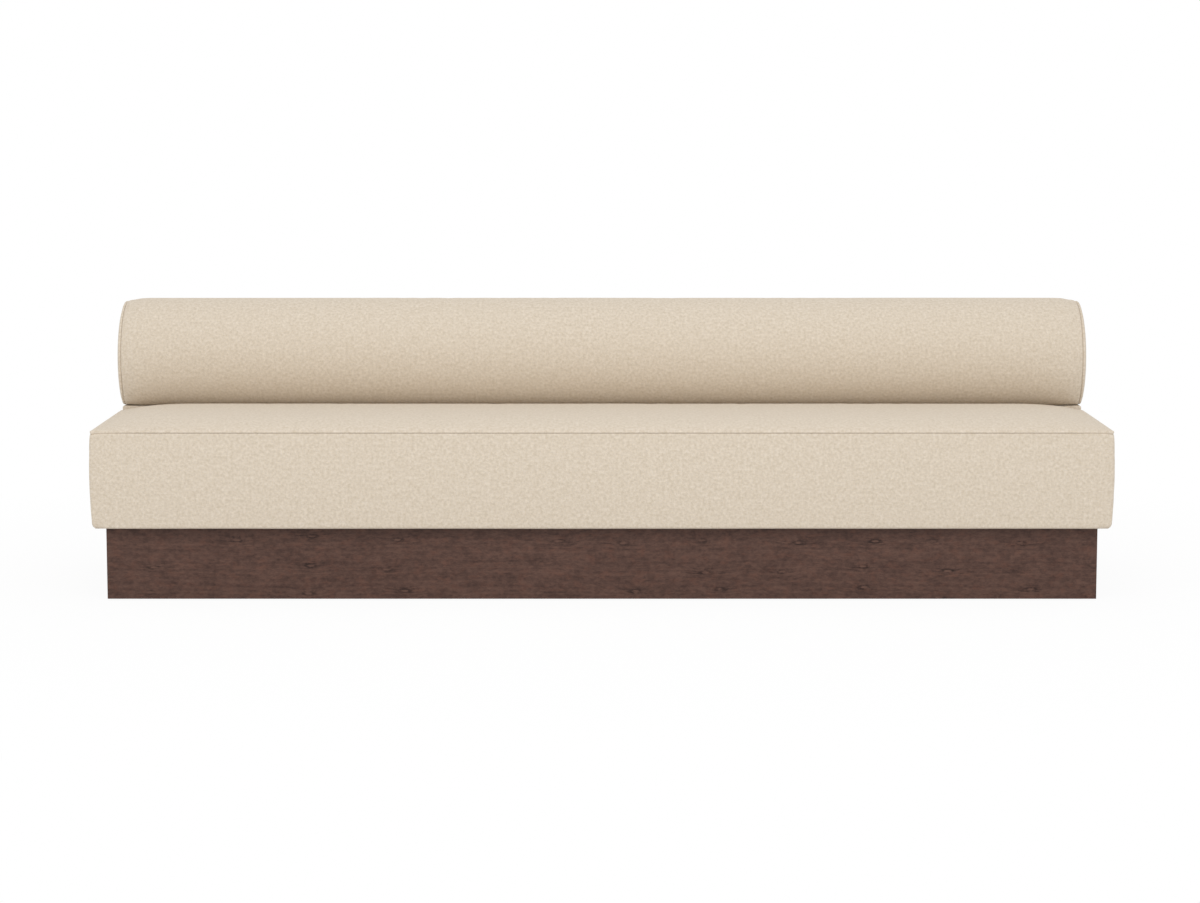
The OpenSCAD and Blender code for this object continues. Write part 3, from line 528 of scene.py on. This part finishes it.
BRASS = finish_of("insert_brass", "metal", (214, 184, 122), (168, 132, 76), {"Polish": 0.34},
    (0.15, 0.1 * MM), Metallic=1.0)
NYLON = finish_of("nylon", "metal", (50, 50, 52), (34, 34, 36), {"Polish": 0.5}, (0.1, 0.1 * MM))


# Mesh building

def add_object(name, data):
    made = bpy.data.objects.new(name, data)
    bpy.context.scene.collection.objects.link(made)
    return made


def mesh_data(name, mesh, material):
    """Turns a bmesh into mesh data with a finish."""
    data = bpy.data.meshes.new(name)
    mesh.to_mesh(data)
    mesh.free()
    data.materials.append(material)
    return data


def new_piece(name, mesh, material, node, body="bench"):
    """Turns a bmesh into a smooth piece that rides on a body and stands for a CAD node."""
    data = mesh_data(name, mesh, material)
    data.shade_smooth()
    piece = add_object(name, data)
    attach(piece, body)
    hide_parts(node)
    return piece


def patch(columns, rows, place, cloth, held=None):
    """A grid of cloth: place gives a vertex, cloth its place on the flat cloth, held how firmly it is sewn."""
    mesh = bmesh.new()
    across, up = len(columns) - 1, len(rows) - 1
    bmesh.ops.create_grid(mesh, x_segments=across, y_segments=up, size=0.5)
    uv = mesh.loops.layers.uv.new("cloth")
    grip = mesh.verts.layers.deform.verify()
    at = {v: (columns[round((v.co.x + 0.5) * across)], rows[round((v.co.y + 0.5) * up)]) for v in mesh.verts}
    for face in mesh.faces:
        for loop in face.loops:
            loop[uv].uv = cloth(*at[loop.vert])
    for v, (column, row) in at.items():
        v.co = place(column, row)
        v[grip][0] = held(column, row) if held else 1.0
    bmesh.ops.remove_doubles(mesh, verts=mesh.verts, dist=SAME_PLACE)
    bmesh.ops.recalc_face_normals(mesh, faces=mesh.faces)
    return mesh


def mirrored(steps):
    """Columns from end to end as (side, distance from that side's end), for steps up to the middle."""
    return [(-1, s) for s in steps[:-1]] + [(1, s) for s in reversed(steps)]


def face_outwards(mesh, probe, outwards):
    """Turns the mesh right way round, judged by the face nearest to a point."""
    probe = Vector(probe)
    nearest = min(mesh.faces, key=lambda f: (f.calc_center_median() - probe).length_squared)
    if nearest.normal.dot(Vector(outwards)) < 0:
        bmesh.ops.reverse_faces(mesh, faces=mesh.faces)


def add_wall(piece, thickness, offset=-1):
    """Gives a single layer its thickness, inwards unless offset says otherwise."""
    wall = piece.modifiers.new("Cloth", "SOLIDIFY")
    wall.thickness = thickness
    wall.offset = offset


def settle(piece, pressure, most):
    """Lets a cover swell over its foam between its seams, by a cloth simulation and by less than most."""
    scene = bpy.context.scene
    piece.vertex_groups.new(name="held")
    start = [v.co.copy() for v in piece.data.vertices]
    cloth = piece.modifiers.new("Settle", "CLOTH")
    for key, value in CLOTH_SETTINGS.items():
        setattr(cloth.settings, key, value)
    cloth.settings.uniform_pressure_force = pressure
    cloth.settings.effector_weights.gravity = 0
    cloth.point_cache.frame_start, cloth.point_cache.frame_end = 1, SETTLE_FRAMES
    for number in range(1, SETTLE_FRAMES + 1):
        scene.frame_set(number)
    settled = piece.evaluated_get(bpy.context.evaluated_depsgraph_get()).data
    moves = [settled.vertices[i].co - co for i, co in enumerate(start)]
    piece.modifiers.remove(cloth)
    scene.frame_set(1)
    for vertex, move in zip(piece.data.vertices, moves):
        if move.length > 0:
            vertex.co += move * (most * tanh(move.length / most) / move.length)
    print(piece.name, "settled by at most", round(max(m.length for m in moves) / MM, 2), "mm")


def upholster(name, node, mesh, outermost, outwards, swelling=None):
    """A padded cover that faces outwards, is swollen by (pressure, most) if given, and has its thickness."""
    face_outwards(mesh, outermost, outwards)
    piece = new_piece(name, mesh, COVER, node)
    if swelling:
        settle(piece, *swelling)
    rounding = piece.modifiers.new("Rounding", "SUBSURF")
    rounding.levels = rounding.render_levels = 1
    add_wall(piece, CLOTH_T)


# The seat's covers

def face_out(z):
    """How far the seat's face stands out of its nominal plane at a height."""
    share = (z - BASE_Z) / (SEAM_Z - BASE_Z)
    return BULGE * sin(pi * share) - DRAW_IN * max(0, 1 - share) ** DRAW_POWER


def near_corner(distance, run=SEAM_DIP_RUN):
    """From 1 at a corner to 0 at the end of the run."""
    return max(0, 1 - distance / run) ** 2


def seam_level(distance):
    """Height of the top seam at a distance from a corner, near which it hangs lower."""
    return SEAM_Z - SEAM_SAG - SEAM_DIP * near_corner(distance)


def crown_height(end_distance, back):
    """Height of the crowned top over the level where the seam's roll ends."""
    return (CROWN_H * rise(max(end_distance, 0), CROWN_RUN_END) * rise(max(back, 0), CROWN_RUN_FRONT)
        * rise(max(SEAT_DEPTH - back, 0), CROWN_RUN_REAR))


def rear_fall(back):
    """How far the rear of the top panel has rolled down at a distance from the front."""
    gone = min(max(0, back - (SEAT_DEPTH - REAR_ROLL)) / REAR_ROLL, 1)
    return REAR_ROLL_DROP * (1 - sqrt(1 - gone ** 2))


def top_roll(step, corner_distance):
    """How far in and how high the top panel lies a step away from its seam."""
    if step >= CORNER_R:
        return step, EDGE_LIFT
    inwards, lift = (x * MM for x in step_along(TOP_ROLL, step / MM))
    nip = SEAM_NIP * near_corner(corner_distance) if step < SEAM_NIP_STEP else 0
    return inwards * (1 + nip), lift


def round_corner(end_step, step):
    """How far in and back the top panel lies inside a corner, on an arc round the corner's middle."""
    away, near = CORNER_R - end_step, CORNER_R - step
    radius = CORNER_R - top_roll(CORNER_R - max(away, near), 0)[0]
    angle = radians(45) * (away / near) if near >= away else radians(90 - 45 * near / away)
    return CORNER_R - radius * sin(angle), CORNER_R - radius * cos(angle)


def top_point(side, end_step, row):
    """A point of the top panel: end_step and a top row count from the seam, a flap row is a height."""
    kind, step = row
    corner_distance = max(end_step, step) if kind == "top" else SEAM_DIP_RUN
    x_in, end_lift = top_roll(end_step, corner_distance)
    back, front_lift = top_roll(step, corner_distance)
    if kind == "flap":
        inset = max(RISER_INSET + FLAP_PLAY + FLAP_TAPER * end_step, x_in)
        return Vector((side * (HALF_LEN - inset), FRONT_Y + SEAT_DEPTH - FLAP_GAP, step))
    if end_step < CORNER_R and step < CORNER_R:
        x_in, back = round_corner(end_step, step)
    lift = min(end_lift, front_lift) * (1 + SEAM_OPENING * near_corner(corner_distance) * (corner_distance > 0))
    seam_share = max(0, 1 - min(end_step, step) / (CORNER_R * 2))
    level = SEAM_Z + (seam_level(corner_distance) - SEAM_Z) * seam_share
    x, y = side * (HALF_LEN - x_in), FRONT_Y + back
    z = level + lift + crown_height(x_in, back) - rear_fall(back)
    z += WANDER * wander((x, y, 0), size=0.22, seed=1) * rise(min(x_in, back), run=0.05)
    return Vector((x, y, z))


def top_rows():
    fronts = EDGE_STEPS + spread(EDGE_END, SEAT_DEPTH - 50 * MM, 15 * MM)
    rears = [SEAT_DEPTH - x * MM for x in (38, 28, 20, 14, 9, 6, 4, 2, 0.6)]
    flaps = [SEAM_Z - x * MM for x in (6, 20)] + [FLAP_Z]
    return [("top", f) for f in fronts + rears] + [("flap", z) for z in flaps]


def seat_top_cover():
    def place(column, row):
        return top_point(*column, row)

    def cloth(column, row):
        side, step = column
        down = row[1] if row[0] == "top" else SEAT_DEPTH + SEAM_Z + FLAP_SLACK - row[1]
        return side * (HALF_LEN - step), down

    def held(column, row):
        sewn = row[0] == "flap" or row[1] > SEAT_DEPTH - 10 * MM or min(column[1], row[1]) <= CORNER_R
        return 1.0 if sewn else TOP_GRIP

    columns = mirrored(EDGE_STEPS + spread(EDGE_END, HALF_LEN, 17 * MM))
    mesh = patch(columns, top_rows(), place, cloth, held)
    upholster("seat_top", "seat_top_cover", mesh, (0, FRONT_Y + SEAT_DEPTH / 2, SEAM_Z), (0, 0, 1),
        swelling=(2.5, 1.5 * MM))


def ring_point(corner, angle, out):
    """A point on the rounded rectangle round the seat, moved out by out."""
    radius = max(CORNER_R + out, CORNER_MIN_R)
    side_x = 1 if corner in (0, 1) else -1
    side_y = 1 if corner in (1, 2) else -1
    return Vector((side_x * (HALF_LEN + out - radius) + radius * cos(angle),
        FRAME_MID_Y + side_y * (FRAME_DEPTH / 2 + out - radius) + radius * sin(angle), 0))


def band_stations():
    """Places round the seat as (corner, angle, share of the way to the next corner, distance round), and the
    distances of the corners."""
    lengths = [FRAME_DEPTH - 2 * CORNER_R, 2 * (HALF_LEN - CORNER_R)] * 2
    arc = CORNER_R * QUARTER
    edge = [x * MM for x in (0, 6, 14, 24, 38)]
    stations, corners, gone = [], [], 0.0
    for corner, run in enumerate(lengths):
        start = QUARTER * (corner - 1)
        corners.append(gone + arc / 2)
        stations += [(corner, start + QUARTER * i / 5, 0.0, gone + arc * i / 5) for i in range(5)]
        gone += arc
        places = edge + spread(56 * MM, run - 56 * MM, 24 * MM) + [run - x for x in reversed(edge[1:])]
        stations += [(corner, start + QUARTER, p / run, gone + p) for p in places]
        gone += run
    stations.append((4, stations[0][1], 0.0, gone))
    return stations, corners


def station_point(station, out):
    corner, angle, share, _ = station
    here = ring_point(corner % 4, angle, out)
    return here.lerp(ring_point((corner + 1) % 4, angle, out), share) if share else here


def band_rows():
    """Rows of the band from the seam's groove down to its edge, turned under the frame."""
    grooves = [("groove", i) for i in range(len(BAND_ROLL))]
    faces = [("face", z) for z in spread(SEAM_Z - 14 * MM, BASE_Z + 32 * MM, 17 * MM)]
    hems = [("hem", degrees) for degrees in (0, 20, 38, 54, 68, 80, 92, 106)]
    return grooves + faces + hems + [("tuck", 0)]


def band_section(row, corner_distance):
    """How far out and how high a row of the band lies at a distance from a corner."""
    kind, value = row
    level = seam_level(corner_distance)
    if kind == "groove":
        out, drop = BAND_ROLL[value]
        near = near_corner(corner_distance)
        nip = 1 + SEAM_NIP * near if out < 0 else 1
        return out * MM * nip, level + drop * MM * (1 + SEAM_OPENING * near)
    if kind == "face":
        share = max(0, 1 - (SEAM_Z - value) / SEAM_DIP_DEPTH)
        return face_out(value), value + (level - SEAM_Z) * share
    if kind == "tuck":
        return -HEM_IN, BASE_Z - TUCK_DROP
    radius = HEM_R + HEM_CORNER_R * near_corner(corner_distance, HEM_CORNER_RUN)
    angle = radians(value)
    out = face_out(BASE_Z + radius) - radius + radius * cos(angle)
    return max(out, -HEM_IN + MM), BASE_Z - HEM_DROP + radius - radius * sin(angle)


def seat_band():
    rows = band_rows()
    middle = [band_section(row, 1) for row in rows]
    along = {rows[0]: 0.0}
    for i in range(1, len(rows)):
        along[rows[i]] = along[rows[i - 1]] + dist(middle[i - 1], middle[i])
    stations, corners = band_stations()
    girth = stations[-1][3]
    half_arc = CORNER_R * QUARTER / 2

    def place(station, row):
        apart = min(min(abs(station[3] - c), girth - abs(station[3] - c)) for c in corners)
        apart = CORNER_R * apart / half_arc if apart < half_arc else CORNER_R + apart - half_arc
        out, z = band_section(row, apart)
        point = station_point(station, out)
        hem_share = max(0, 1 - (z - BASE_Z) / HEM_WANDER_RISE) if row[0] != "tuck" else 0
        point.z = z + WANDER * wander((point.x, point.y, 0), size=0.31, seed=3) * hem_share
        return point

    def cloth(station, row):
        return station[3], -along[row]

    def held(station, row):
        return SIDE_GRIP if row[0] == "face" else 1.0

    mesh = patch(stations, rows, place, cloth, held)
    upholster("seat_band", "seat_border_cover", mesh, (0, FRONT_Y, (SEAM_Z + BASE_Z) / 2), (0, -1, 0),
        swelling=(2.0, 1.2 * MM))


# The bolster's covers

def bolster_reach(radius, angle):
    """The bolster's radius at an angle from straight down, flattened where it rests."""
    down = cos(angle)
    if down <= 0.2:
        return radius
    return soft_least(radius, (BOLSTER_Z - BOLSTER_FLAT_Z) / down, FLAT_SOFTNESS)


def bolster_point(x, reach, angle):
    z = BOLSTER_Z - reach * cos(angle)
    return Vector((x, BOLSTER_Y - reach * sin(angle), max(z, BOLSTER_FLAT_Z + REST_PLAY)))


def turn_steps(count):
    return [2 * pi * i / count for i in range(count + 1)]


def filled_radius(from_seam):
    return BOLSTER_R - step_along(END_PULL, from_seam / MM)[0] * MM


def bolster_cover():
    drops = [(s * MM, d * MM) for s, d in TUBE_ROLL]
    inner = [x * MM for x in (8, 13, 20, 28, 37, 50, 64)]
    columns = mirrored([s for s, _ in drops] + inner + spread(80 * MM, BOLSTER_HALF, 20 * MM))

    def place(column, angle):
        side, step = column
        radius = filled_radius(step) - step_along(drops, step)[0]
        x = side * (BOLSTER_HALF - step)
        place_round = (x, sin(angle), cos(angle))
        radius += WANDER * wander(place_round, size=0.35, seed=5) * rise(step, run=0.1)
        return bolster_point(x, bolster_reach(radius, angle), angle)

    def cloth(column, angle):
        return column[0] * (BOLSTER_HALF - column[1]), angle * BOLSTER_R

    def held(column, angle):
        return 1.0 if column[1] <= 5 * MM or cos(angle) > 0.75 else SIDE_GRIP

    mesh = patch(columns, turn_steps(BOLSTER_SIDES), place, cloth, held)
    upholster("bolster", "bolster_cover", mesh, (0, BOLSTER_Y, BOLSTER_HIGH.z), (0, 0, 1),
        swelling=(2.0, 1.2 * MM))


def dome(share):
    """The cap swells steeply at its seam and then gently to its middle."""
    edge = DOME_EDGE_SHARE * (1 - share ** DOME_EDGE_POWER)
    return CAP_DOME * (edge + (1 - DOME_EDGE_SHARE) * (1 - share ** DOME_MIDDLE_POWER))


def bolster_cap(side, name, node):
    seam_radius = filled_radius(0)
    rings = [(seam_radius - drop * MM, out * MM, 0) for out, drop in CAP_ROLL]
    rings += [(seam_radius * share, dome(share), 1) for share in CAP_RINGS]

    def place(angle, ring):
        radius, out, domed = ring
        share = radius / seam_radius
        out += domed * CAP_SETTLE * cos(angle) * sin(pi * share)
        return bolster_point(side * (BOLSTER_HALF + out), bolster_reach(seam_radius, angle) * share, angle)

    def cloth(angle, ring):
        return side * (ring[0] * sin(angle) + CAP_CLOTH_APART), -ring[0] * cos(angle)

    mesh = patch(turn_steps(BOLSTER_SIDES), rings, place, cloth)
    outermost = (side * (BOLSTER_HALF + CAP_DOME), BOLSTER_Y, BOLSTER_Z)
    upholster(name, node, mesh, outermost, (side, 0, 0))


# The riser and the layers inside

def box_cloth(mesh):
    """Lays the cloth flat on each face along its two longest directions."""
    uv = mesh.loops.layers.uv.verify()
    for face in mesh.faces:
        n = [abs(x) for x in face.normal]
        first, second = (1, 2) if n[0] == max(n) else (0, 2) if n[1] == max(n) else (0, 1)
        for loop in face.loops:
            loop[uv].uv = loop.vert.co[first], loop.vert.co[second]


def round_edges(mesh, edges, radius, segments=3):
    bmesh.ops.bevel(mesh, geom=list(edges), offset=radius, segments=segments, profile=0.5, affect="EDGES",
        material=-1)


def riser_cover():
    """The riser's cover is a box without a floor and with rounded edges."""
    mesh = bmesh.new()
    bmesh.ops.create_cube(mesh, size=1.0, matrix=Matrix.Translation((RISER_LOW + RISER_HIGH) / 2)
        @ Matrix.Diagonal((*(RISER_HIGH - RISER_LOW), 1)))
    upright = [e for e in mesh.edges if abs(e.verts[0].co.z - e.verts[1].co.z) > MM]
    round_edges(mesh, upright, CORNER_R - RISER_INSET)
    floor = [f for f in mesh.faces if f.normal.z < -0.9]
    bmesh.ops.delete(mesh, geom=floor, context="FACES")
    rim = [e for e in mesh.edges if all(v.co.z > RISER_HIGH.z - MM for v in e.verts) and len(e.link_faces) == 2]
    round_edges(mesh, rim, CORNER_R - RISER_INSET, 4)
    box_cloth(mesh)
    piece = new_piece("riser_cloth", mesh, COVER, "riser_cover")
    add_wall(piece, CLOTH_T)


def clean_copy(node):
    """A copy of a CAD node as one joined mesh with flat faces whole."""
    mesh = bmesh.new()
    mesh.from_mesh(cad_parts[node].data)
    bmesh.ops.remove_doubles(mesh, verts=mesh.verts, dist=0.01 * MM)
    bmesh.ops.dissolve_limit(mesh, angle_limit=radians(0.5), verts=mesh.verts, edges=mesh.edges)
    return mesh


def cap_share(beyond):
    """Share of the seam's radius at which a cap stands as far beyond the end seam as given."""
    return max([i / 100 for i in range(100) if dome(i / 100) >= beyond] or [0])


def keep_inside_bolster(mesh):
    """Draws a foam's points in until they are clear of the bolster's covers."""
    for v in mesh.verts:
        off = Vector((0, v.co.y - BOLSTER_Y, v.co.z - BOLSTER_Z))
        beyond = abs(v.co.x) - BOLSTER_HALF
        angle = atan2(-off.y, -off.z)
        if beyond < 0:
            rolled = step_along(TUBE_ROLL, -beyond / MM)[0] * MM
            free = bolster_reach(filled_radius(-beyond) - rolled - FOAM_ROOM, angle) - 0.5 * MM
        else:
            seam_reach = bolster_reach(filled_radius(0) - CAP_ROLL[0][1] * MM, angle)
            free = seam_reach * cap_share(beyond + FOAM_ROOM) - FOAM_ROOM
            v.co.x = copysign(BOLSTER_HALF + min(beyond, CAP_DOME - FOAM_ROOM), v.co.x)
        if off.length > max(free, MM):
            v.co.yz = (BOLSTER_Y + off.y * free / off.length, BOLSTER_Z + off.z * free / off.length)
    bmesh.ops.dissolve_degenerate(mesh, dist=0.05 * MM, edges=mesh.edges)


def eased(node, material, radius, body="bench", shape=None):
    """A piece with the node's shape and softened edges, in place of the node."""
    mesh = clean_copy(node)
    if shape:
        shape(mesh)
    box_cloth(mesh)
    piece = new_piece(node + "_piece", mesh, material, node, body)
    piece.data.set_sharp_from_angle(angle=SHARP_ANGLE)
    easing = piece.modifiers.new("Eased edges", "BEVEL")
    easing.width = radius
    easing.segments = 2
    easing.limit_method = "ANGLE"
    easing.angle_limit = SHARP_ANGLE
    easing.harden_normals = True


def dress(material, *nodes):
    """Gives CAD nodes their finish."""
    for node in nodes:
        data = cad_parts[node].data
        data.materials.clear()
        data.materials.append(material)


def layer_slab(name, node, lower, bottom, material):
    """A layer that follows the top panel, lower than it by lower, with its underside where bottom says."""
    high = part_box(node)[1]
    inset = HALF_LEN - high.x + GROOVE_ROOM
    rear = high.y - FRONT_Y
    edge = [inset] + [x * MM for x in (9, 14, 22, 34)]
    backs = edge + spread(50 * MM, rear - 40 * MM, 30 * MM) + [rear - x * MM for x in (26, 16, 8, 0)]

    def place(column, row):
        side, end_in, back = column[0], max(column[1], inset), min(max(row, inset), rear)
        z = top_point(side, end_in, ("top", back)).z - lower
        return Vector((side * (HALF_LEN - end_in), FRONT_Y + back, z))

    def cloth(column, row):
        return column[0] * (HALF_LEN - column[1]), row

    mesh = patch(mirrored(edge + spread(50 * MM, HALF_LEN, 36 * MM)), backs, place, cloth)
    face_outwards(mesh, (0, 0, SEAM_Z), (0, 0, 1))
    for v in bmesh.ops.extrude_face_region(mesh, geom=list(mesh.faces))["geom"]:
        if isinstance(v, bmesh.types.BMVert):
            v.co.z = bottom(v.co)
    bmesh.ops.recalc_face_normals(mesh, faces=mesh.faces)
    piece = new_piece(name, mesh, material, node)
    piece.data.set_sharp_from_angle(angle=radians(50))


def dust_cover():
    """The lining under the frame, with shallow ripples between its staples."""
    low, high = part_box("dust_cover")

    def place(column, row):
        ripple = max(0, wander((column, row, 0), size=0.06, seed=9)) * LINING_RIPPLE + 0.05 * MM
        return Vector((column, row, low.z + ripple + LINING_T))

    mesh = patch(spread(low.x, high.x, 24 * MM), spread(low.y, high.y, 24 * MM), place, lambda c, r: (c, r))
    face_outwards(mesh, (0, 0, low.z), (0, 0, -1))
    piece = new_piece("lining_sheet", mesh, LINING, "dust_cover")
    add_wall(piece, LINING_T)


def strap_middles(low, high, count):
    return spread(low + STRAP_W / 2, high - STRAP_W / 2, (high - low - STRAP_W) / (count - 1))


def strap_path(start, end, rest, crossings, first_up):
    """(place, level) along a woven strap with doubled ends; crossings are the middles of those it passes."""
    doubled = rest + STRAP_T + STRAP_PLAY
    fold = ((STRAP_FOLD, doubled), (STRAP_T, doubled), (0.4 * STRAP_T, rest + STRAP_T),
        (0.2 * STRAP_T, rest + STRAP_T / 2), (0.4 * STRAP_T, rest), (STRAP_T, rest),
        (STRAP_FOLD + 4 * MM, rest))
    middle = rest - STRAP_T / 2 + WEB_ROOM / 2
    weave = []
    for number, place in enumerate(crossings):
        level = middle + (STRAP_T / 2 + STRAP_PLAY / 2) * (1 if (number % 2 == 0) == first_up else -1)
        weave += [(place + share * STRAP_W, level) for share in (-0.45, 0, 0.45)]
        if number < len(crossings) - 1:
            weave.append(((place + crossings[number + 1]) / 2, middle))
    return [(start + x, z) for x, z in fold] + weave + [(end - x, z) for x, z in reversed(fold)]


def straps(name, node, paths, middles, upright):
    """Woven straps side by side; upright straps run along Y, the others along X."""
    mesh = bmesh.new()
    uv = mesh.loops.layers.uv.new("cloth")
    for path, middle in zip(paths, middles):
        made = bmesh.ops.create_grid(mesh, x_segments=len(path) - 1, y_segments=6, size=0.5)
        gone = [0.0]
        for here, there in zip(path, path[1:]):
            gone.append(gone[-1] + dist(here, there))
        cut = {}
        for v in made["verts"]:
            step, across = round((v.co.x + 0.5) * (len(path) - 1)), v.co.y * STRAP_W
            place, level = path[step]
            v.co = (middle + across, place, level) if upright else (place, middle + across, level)
            cut[v] = across, gone[step] + middle
        for face in {f for v in made["verts"] for f in v.link_faces}:
            for loop in face.loops:
                loop[uv].uv = cut[loop.vert]
    bmesh.ops.recalc_face_normals(mesh, faces=mesh.faces)
    add_wall(new_piece(name, mesh, WEBBING, node), STRAP_T, offset=0)


def seat_webbing():
    backs = strap_middles(LONG_STRAPS_LOW.y, LONG_STRAPS_HIGH.y, STRAPS_ALONG)
    places = strap_middles(CROSS_STRAPS_LOW.x, CROSS_STRAPS_HIGH.x, STRAPS_ACROSS)
    rest = LONG_STRAPS_LOW.z + STRAP_T / 2
    long_paths = [strap_path(LONG_STRAPS_LOW.x, LONG_STRAPS_HIGH.x, rest, places, i % 2 == 0)
        for i in range(STRAPS_ALONG)]
    cross_paths = [strap_path(CROSS_STRAPS_LOW.y, CROSS_STRAPS_HIGH.y, rest, backs, j % 2 == 1)
        for j in range(STRAPS_ACROSS)]
    straps("webbing_straps_long", "webbing_lengthwise", long_paths, backs, False)
    straps("webbing_straps_cross", "webbing_cross", cross_paths, places, True)


def levelling_stem(number):
    """A stem with its spanner collar and a right-hand thread that turns in its insert."""
    node = f"foot_stem_{number}"
    low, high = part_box(node)
    x, y = (low.x + high.x) / 2, (low.y + high.y) / 2
    collar_top = low.z + STEM_COLLAR_H

    def place(angle, z):
        share = (z / THREAD_PITCH - angle / (2 * pi)) % 1
        flank = min(max(abs(share - 0.5) * THREAD_FLANK - THREAD_CREST, 0), 1)
        cut = flank * min(1, max(0, z - collar_top) / THREAD_PITCH)
        radius = min(STEM_R - THREAD_DEPTH * cut, STEM_R - STEM_CHAMFER + max(0, high.z - z))
        return Vector((x + radius * cos(angle), y + radius * sin(angle), z))

    heights = spread(collar_top - MM, high.z, THREAD_PITCH / 7)
    mesh = patch(turn_steps(24), heights, place, lambda angle, z: (angle, z))
    bmesh.ops.holes_fill(mesh, edges=[e for e in mesh.edges if e.is_boundary], sides=0)
    spanner_r = (high.y - low.y) / 2 / cos(HEX_TURN)
    middle = Matrix.Translation((x, y, low.z + STEM_COLLAR_H / 2)) @ Matrix.Rotation(HEX_TURN, 4, "Z")
    collar = bmesh.ops.create_cone(mesh, cap_ends=True, segments=6, radius1=spanner_r, radius2=spanner_r,
        depth=STEM_COLLAR_H, matrix=middle)
    round_edges(mesh, {e for v in collar["verts"] for e in v.link_edges}, 0.3 * MM, 2)
    bmesh.ops.recalc_face_normals(mesh, faces=mesh.faces)
    piece = new_piece(node + "_piece", mesh, ZINC, node, f"stem_{number}")
    piece.data.set_sharp_from_angle(angle=SHARP_ANGLE)


seat_top_cover()
seat_band()
bolster_cover()
bolster_cap(-1, "bolster_end_left", "bolster_cap_left")
bolster_cap(1, "bolster_end_right", "bolster_cap_right")
riser_cover()
dust_cover()
seat_webbing()

layer_slab("seat_cushion_foam", "seat_foam", UNDER_COVER + WADDING_T + LAYER_GAP, lambda co: SLAB_Z,
    FOAM)
layer_slab("seat_cushion_wadding", "seat_wadding", UNDER_COVER, lambda co: co.z - WADDING_T,
    WADDING)
for foam in ("border_foam_front", "border_foam_back", "border_foam_left", "border_foam_right", "riser_pad"):
    eased(foam, FOAM, 1.0 * MM)
for foam in ("bolster_foam", "bolster_end_pad_left", "bolster_end_pad_right"):
    eased(foam, FOAM, 1.0 * MM, shape=keep_inside_bolster)
for side, grain in (("front", "along"), ("back", "along"), ("left", "across"), ("right", "across")):
    eased(f"plinth_{side}_panel", WALNUT[grain], 0.7 * MM)

dress(PINE["along"], "seat_front_rail", "seat_middle_rail", "seat_back_rail", "plinth_battens")
dress(PINE["across"], "seat_left_rail", "seat_right_rail", "seat_cross_rails")
dress(PINE["upright"], "foot_blocks", "bolster_fixing_blocks")
dress(PLYWOOD["along"], "riser_front_board", "riser_back_board", "riser_top_board")
dress(PLYWOOD["across"], "riser_left_board", "riser_right_board", "riser_ribs", "plinth_webs",
    "bolster_bulkheads")
dress(PAPER, "bolster_core_tube")
dress(ZINC, "seat_bolts", "seat_bolt_washers", "bolster_bolts", "bolster_bolt_washers", "foot_inserts")
dress(BRASS, "seat_inserts", "bolster_inserts")
for number in range(1, 7):
    levelling_stem(number)
    eased(f"foot_pad_{number}", NYLON, 0.5 * MM, body=f"pad_{number}")


# Floor, light and camera

def seen_directly(tree):
    """1 for rays from the camera, a mirror or glass, 0 for those that gather light."""
    ray = add_node(tree, "LightPath").outputs
    reflected = math_node("MAXIMUM", ray["Is Glossy Ray"], ray["Is Transmission Ray"])
    return math_node("MAXIMUM", ray["Is Camera Ray"], reflected)


def mixed_shader(share, first, second):
    return node_on("MixShader", [(0, share), (1, first), (2, second)])[0]


def pale_floor():
    """A pale floor that looks almost white near the bench and white further off, and clear from below."""
    mesh = bmesh.new()
    bmesh.ops.create_grid(mesh, x_segments=1, y_segments=1, size=FLOOR_REACH)
    material = bpy.data.materials.new("pale_floor")
    material.use_nodes = True
    tree = material.node_tree
    tree.nodes.clear()
    matt = add_node(tree, "BsdfDiffuse", [("Color", FLOOR_COLOUR)]).outputs[0]
    white = add_node(tree, "Emission", [("Color", WHITE), ("Strength", 1.0)]).outputs[0]
    place = add_node(tree, "TexCoord").outputs["Object"]
    away = node_on("VectorMath", [(0, place)], operation="LENGTH")["Value"]
    share = product(seen_directly(tree), ramp(away, *FLOOR_FADE))
    pale = mixed_shader(share, matt, white)
    under = add_node(tree, "NewGeometry").outputs["Backfacing"]
    clear = add_node(tree, "BsdfTransparent").outputs[0]
    add_node(tree, "OutputMaterial", [("Surface", mixed_shader(under, pale, clear))])
    add_object("floor", mesh_data("floor", mesh, material))


def studio_light():
    """An even light from all sides, in front of a white background."""
    world = bpy.data.worlds.new("studio")
    bpy.context.scene.world = world
    world.use_nodes = True
    tree = world.node_tree
    tree.nodes.clear()
    soft, white = (add_node(tree, "Background", [("Color", WHITE), ("Strength", level)]).outputs[0]
        for level in (WORLD_LEVEL, 1.0))
    add_node(tree, "OutputWorld", [("Surface", mixed_shader(seen_directly(tree), soft, white))])


def overhead_light():
    lamp = bpy.data.lights.new("overhead", "AREA")
    lamp.shape = "RECTANGLE"
    lamp.size, lamp.size_y = LAMP_SIZE
    lamp.energy = LAMP_POWER
    made = add_object("overhead", lamp)
    made.location = LAMP_PLACE
    made.rotation_euler = (LAMP_AIM - LAMP_PLACE).to_track_quat("-Z", "Y").to_euler()


def camera():
    """The photograph's view, in which the bench's middle lies a little right of the picture's."""
    lens = bpy.data.cameras.new("camera")
    lens.sensor_width = SENSOR_WIDTH
    lens.lens = LENS_LENGTH
    lens.shift_x = PICTURE_SHIFT
    made = add_object("camera", lens)
    made.location = (0, FRONT_Y - CAMERA_AWAY, CAMERA_HEIGHT)
    made.rotation_euler = (QUARTER - CAMERA_TILT, 0, 0)
    bpy.context.scene.camera = made


pale_floor()
studio_light()
overhead_light()
camera()
bpy.context.scene.view_settings.view_transform = "Standard"
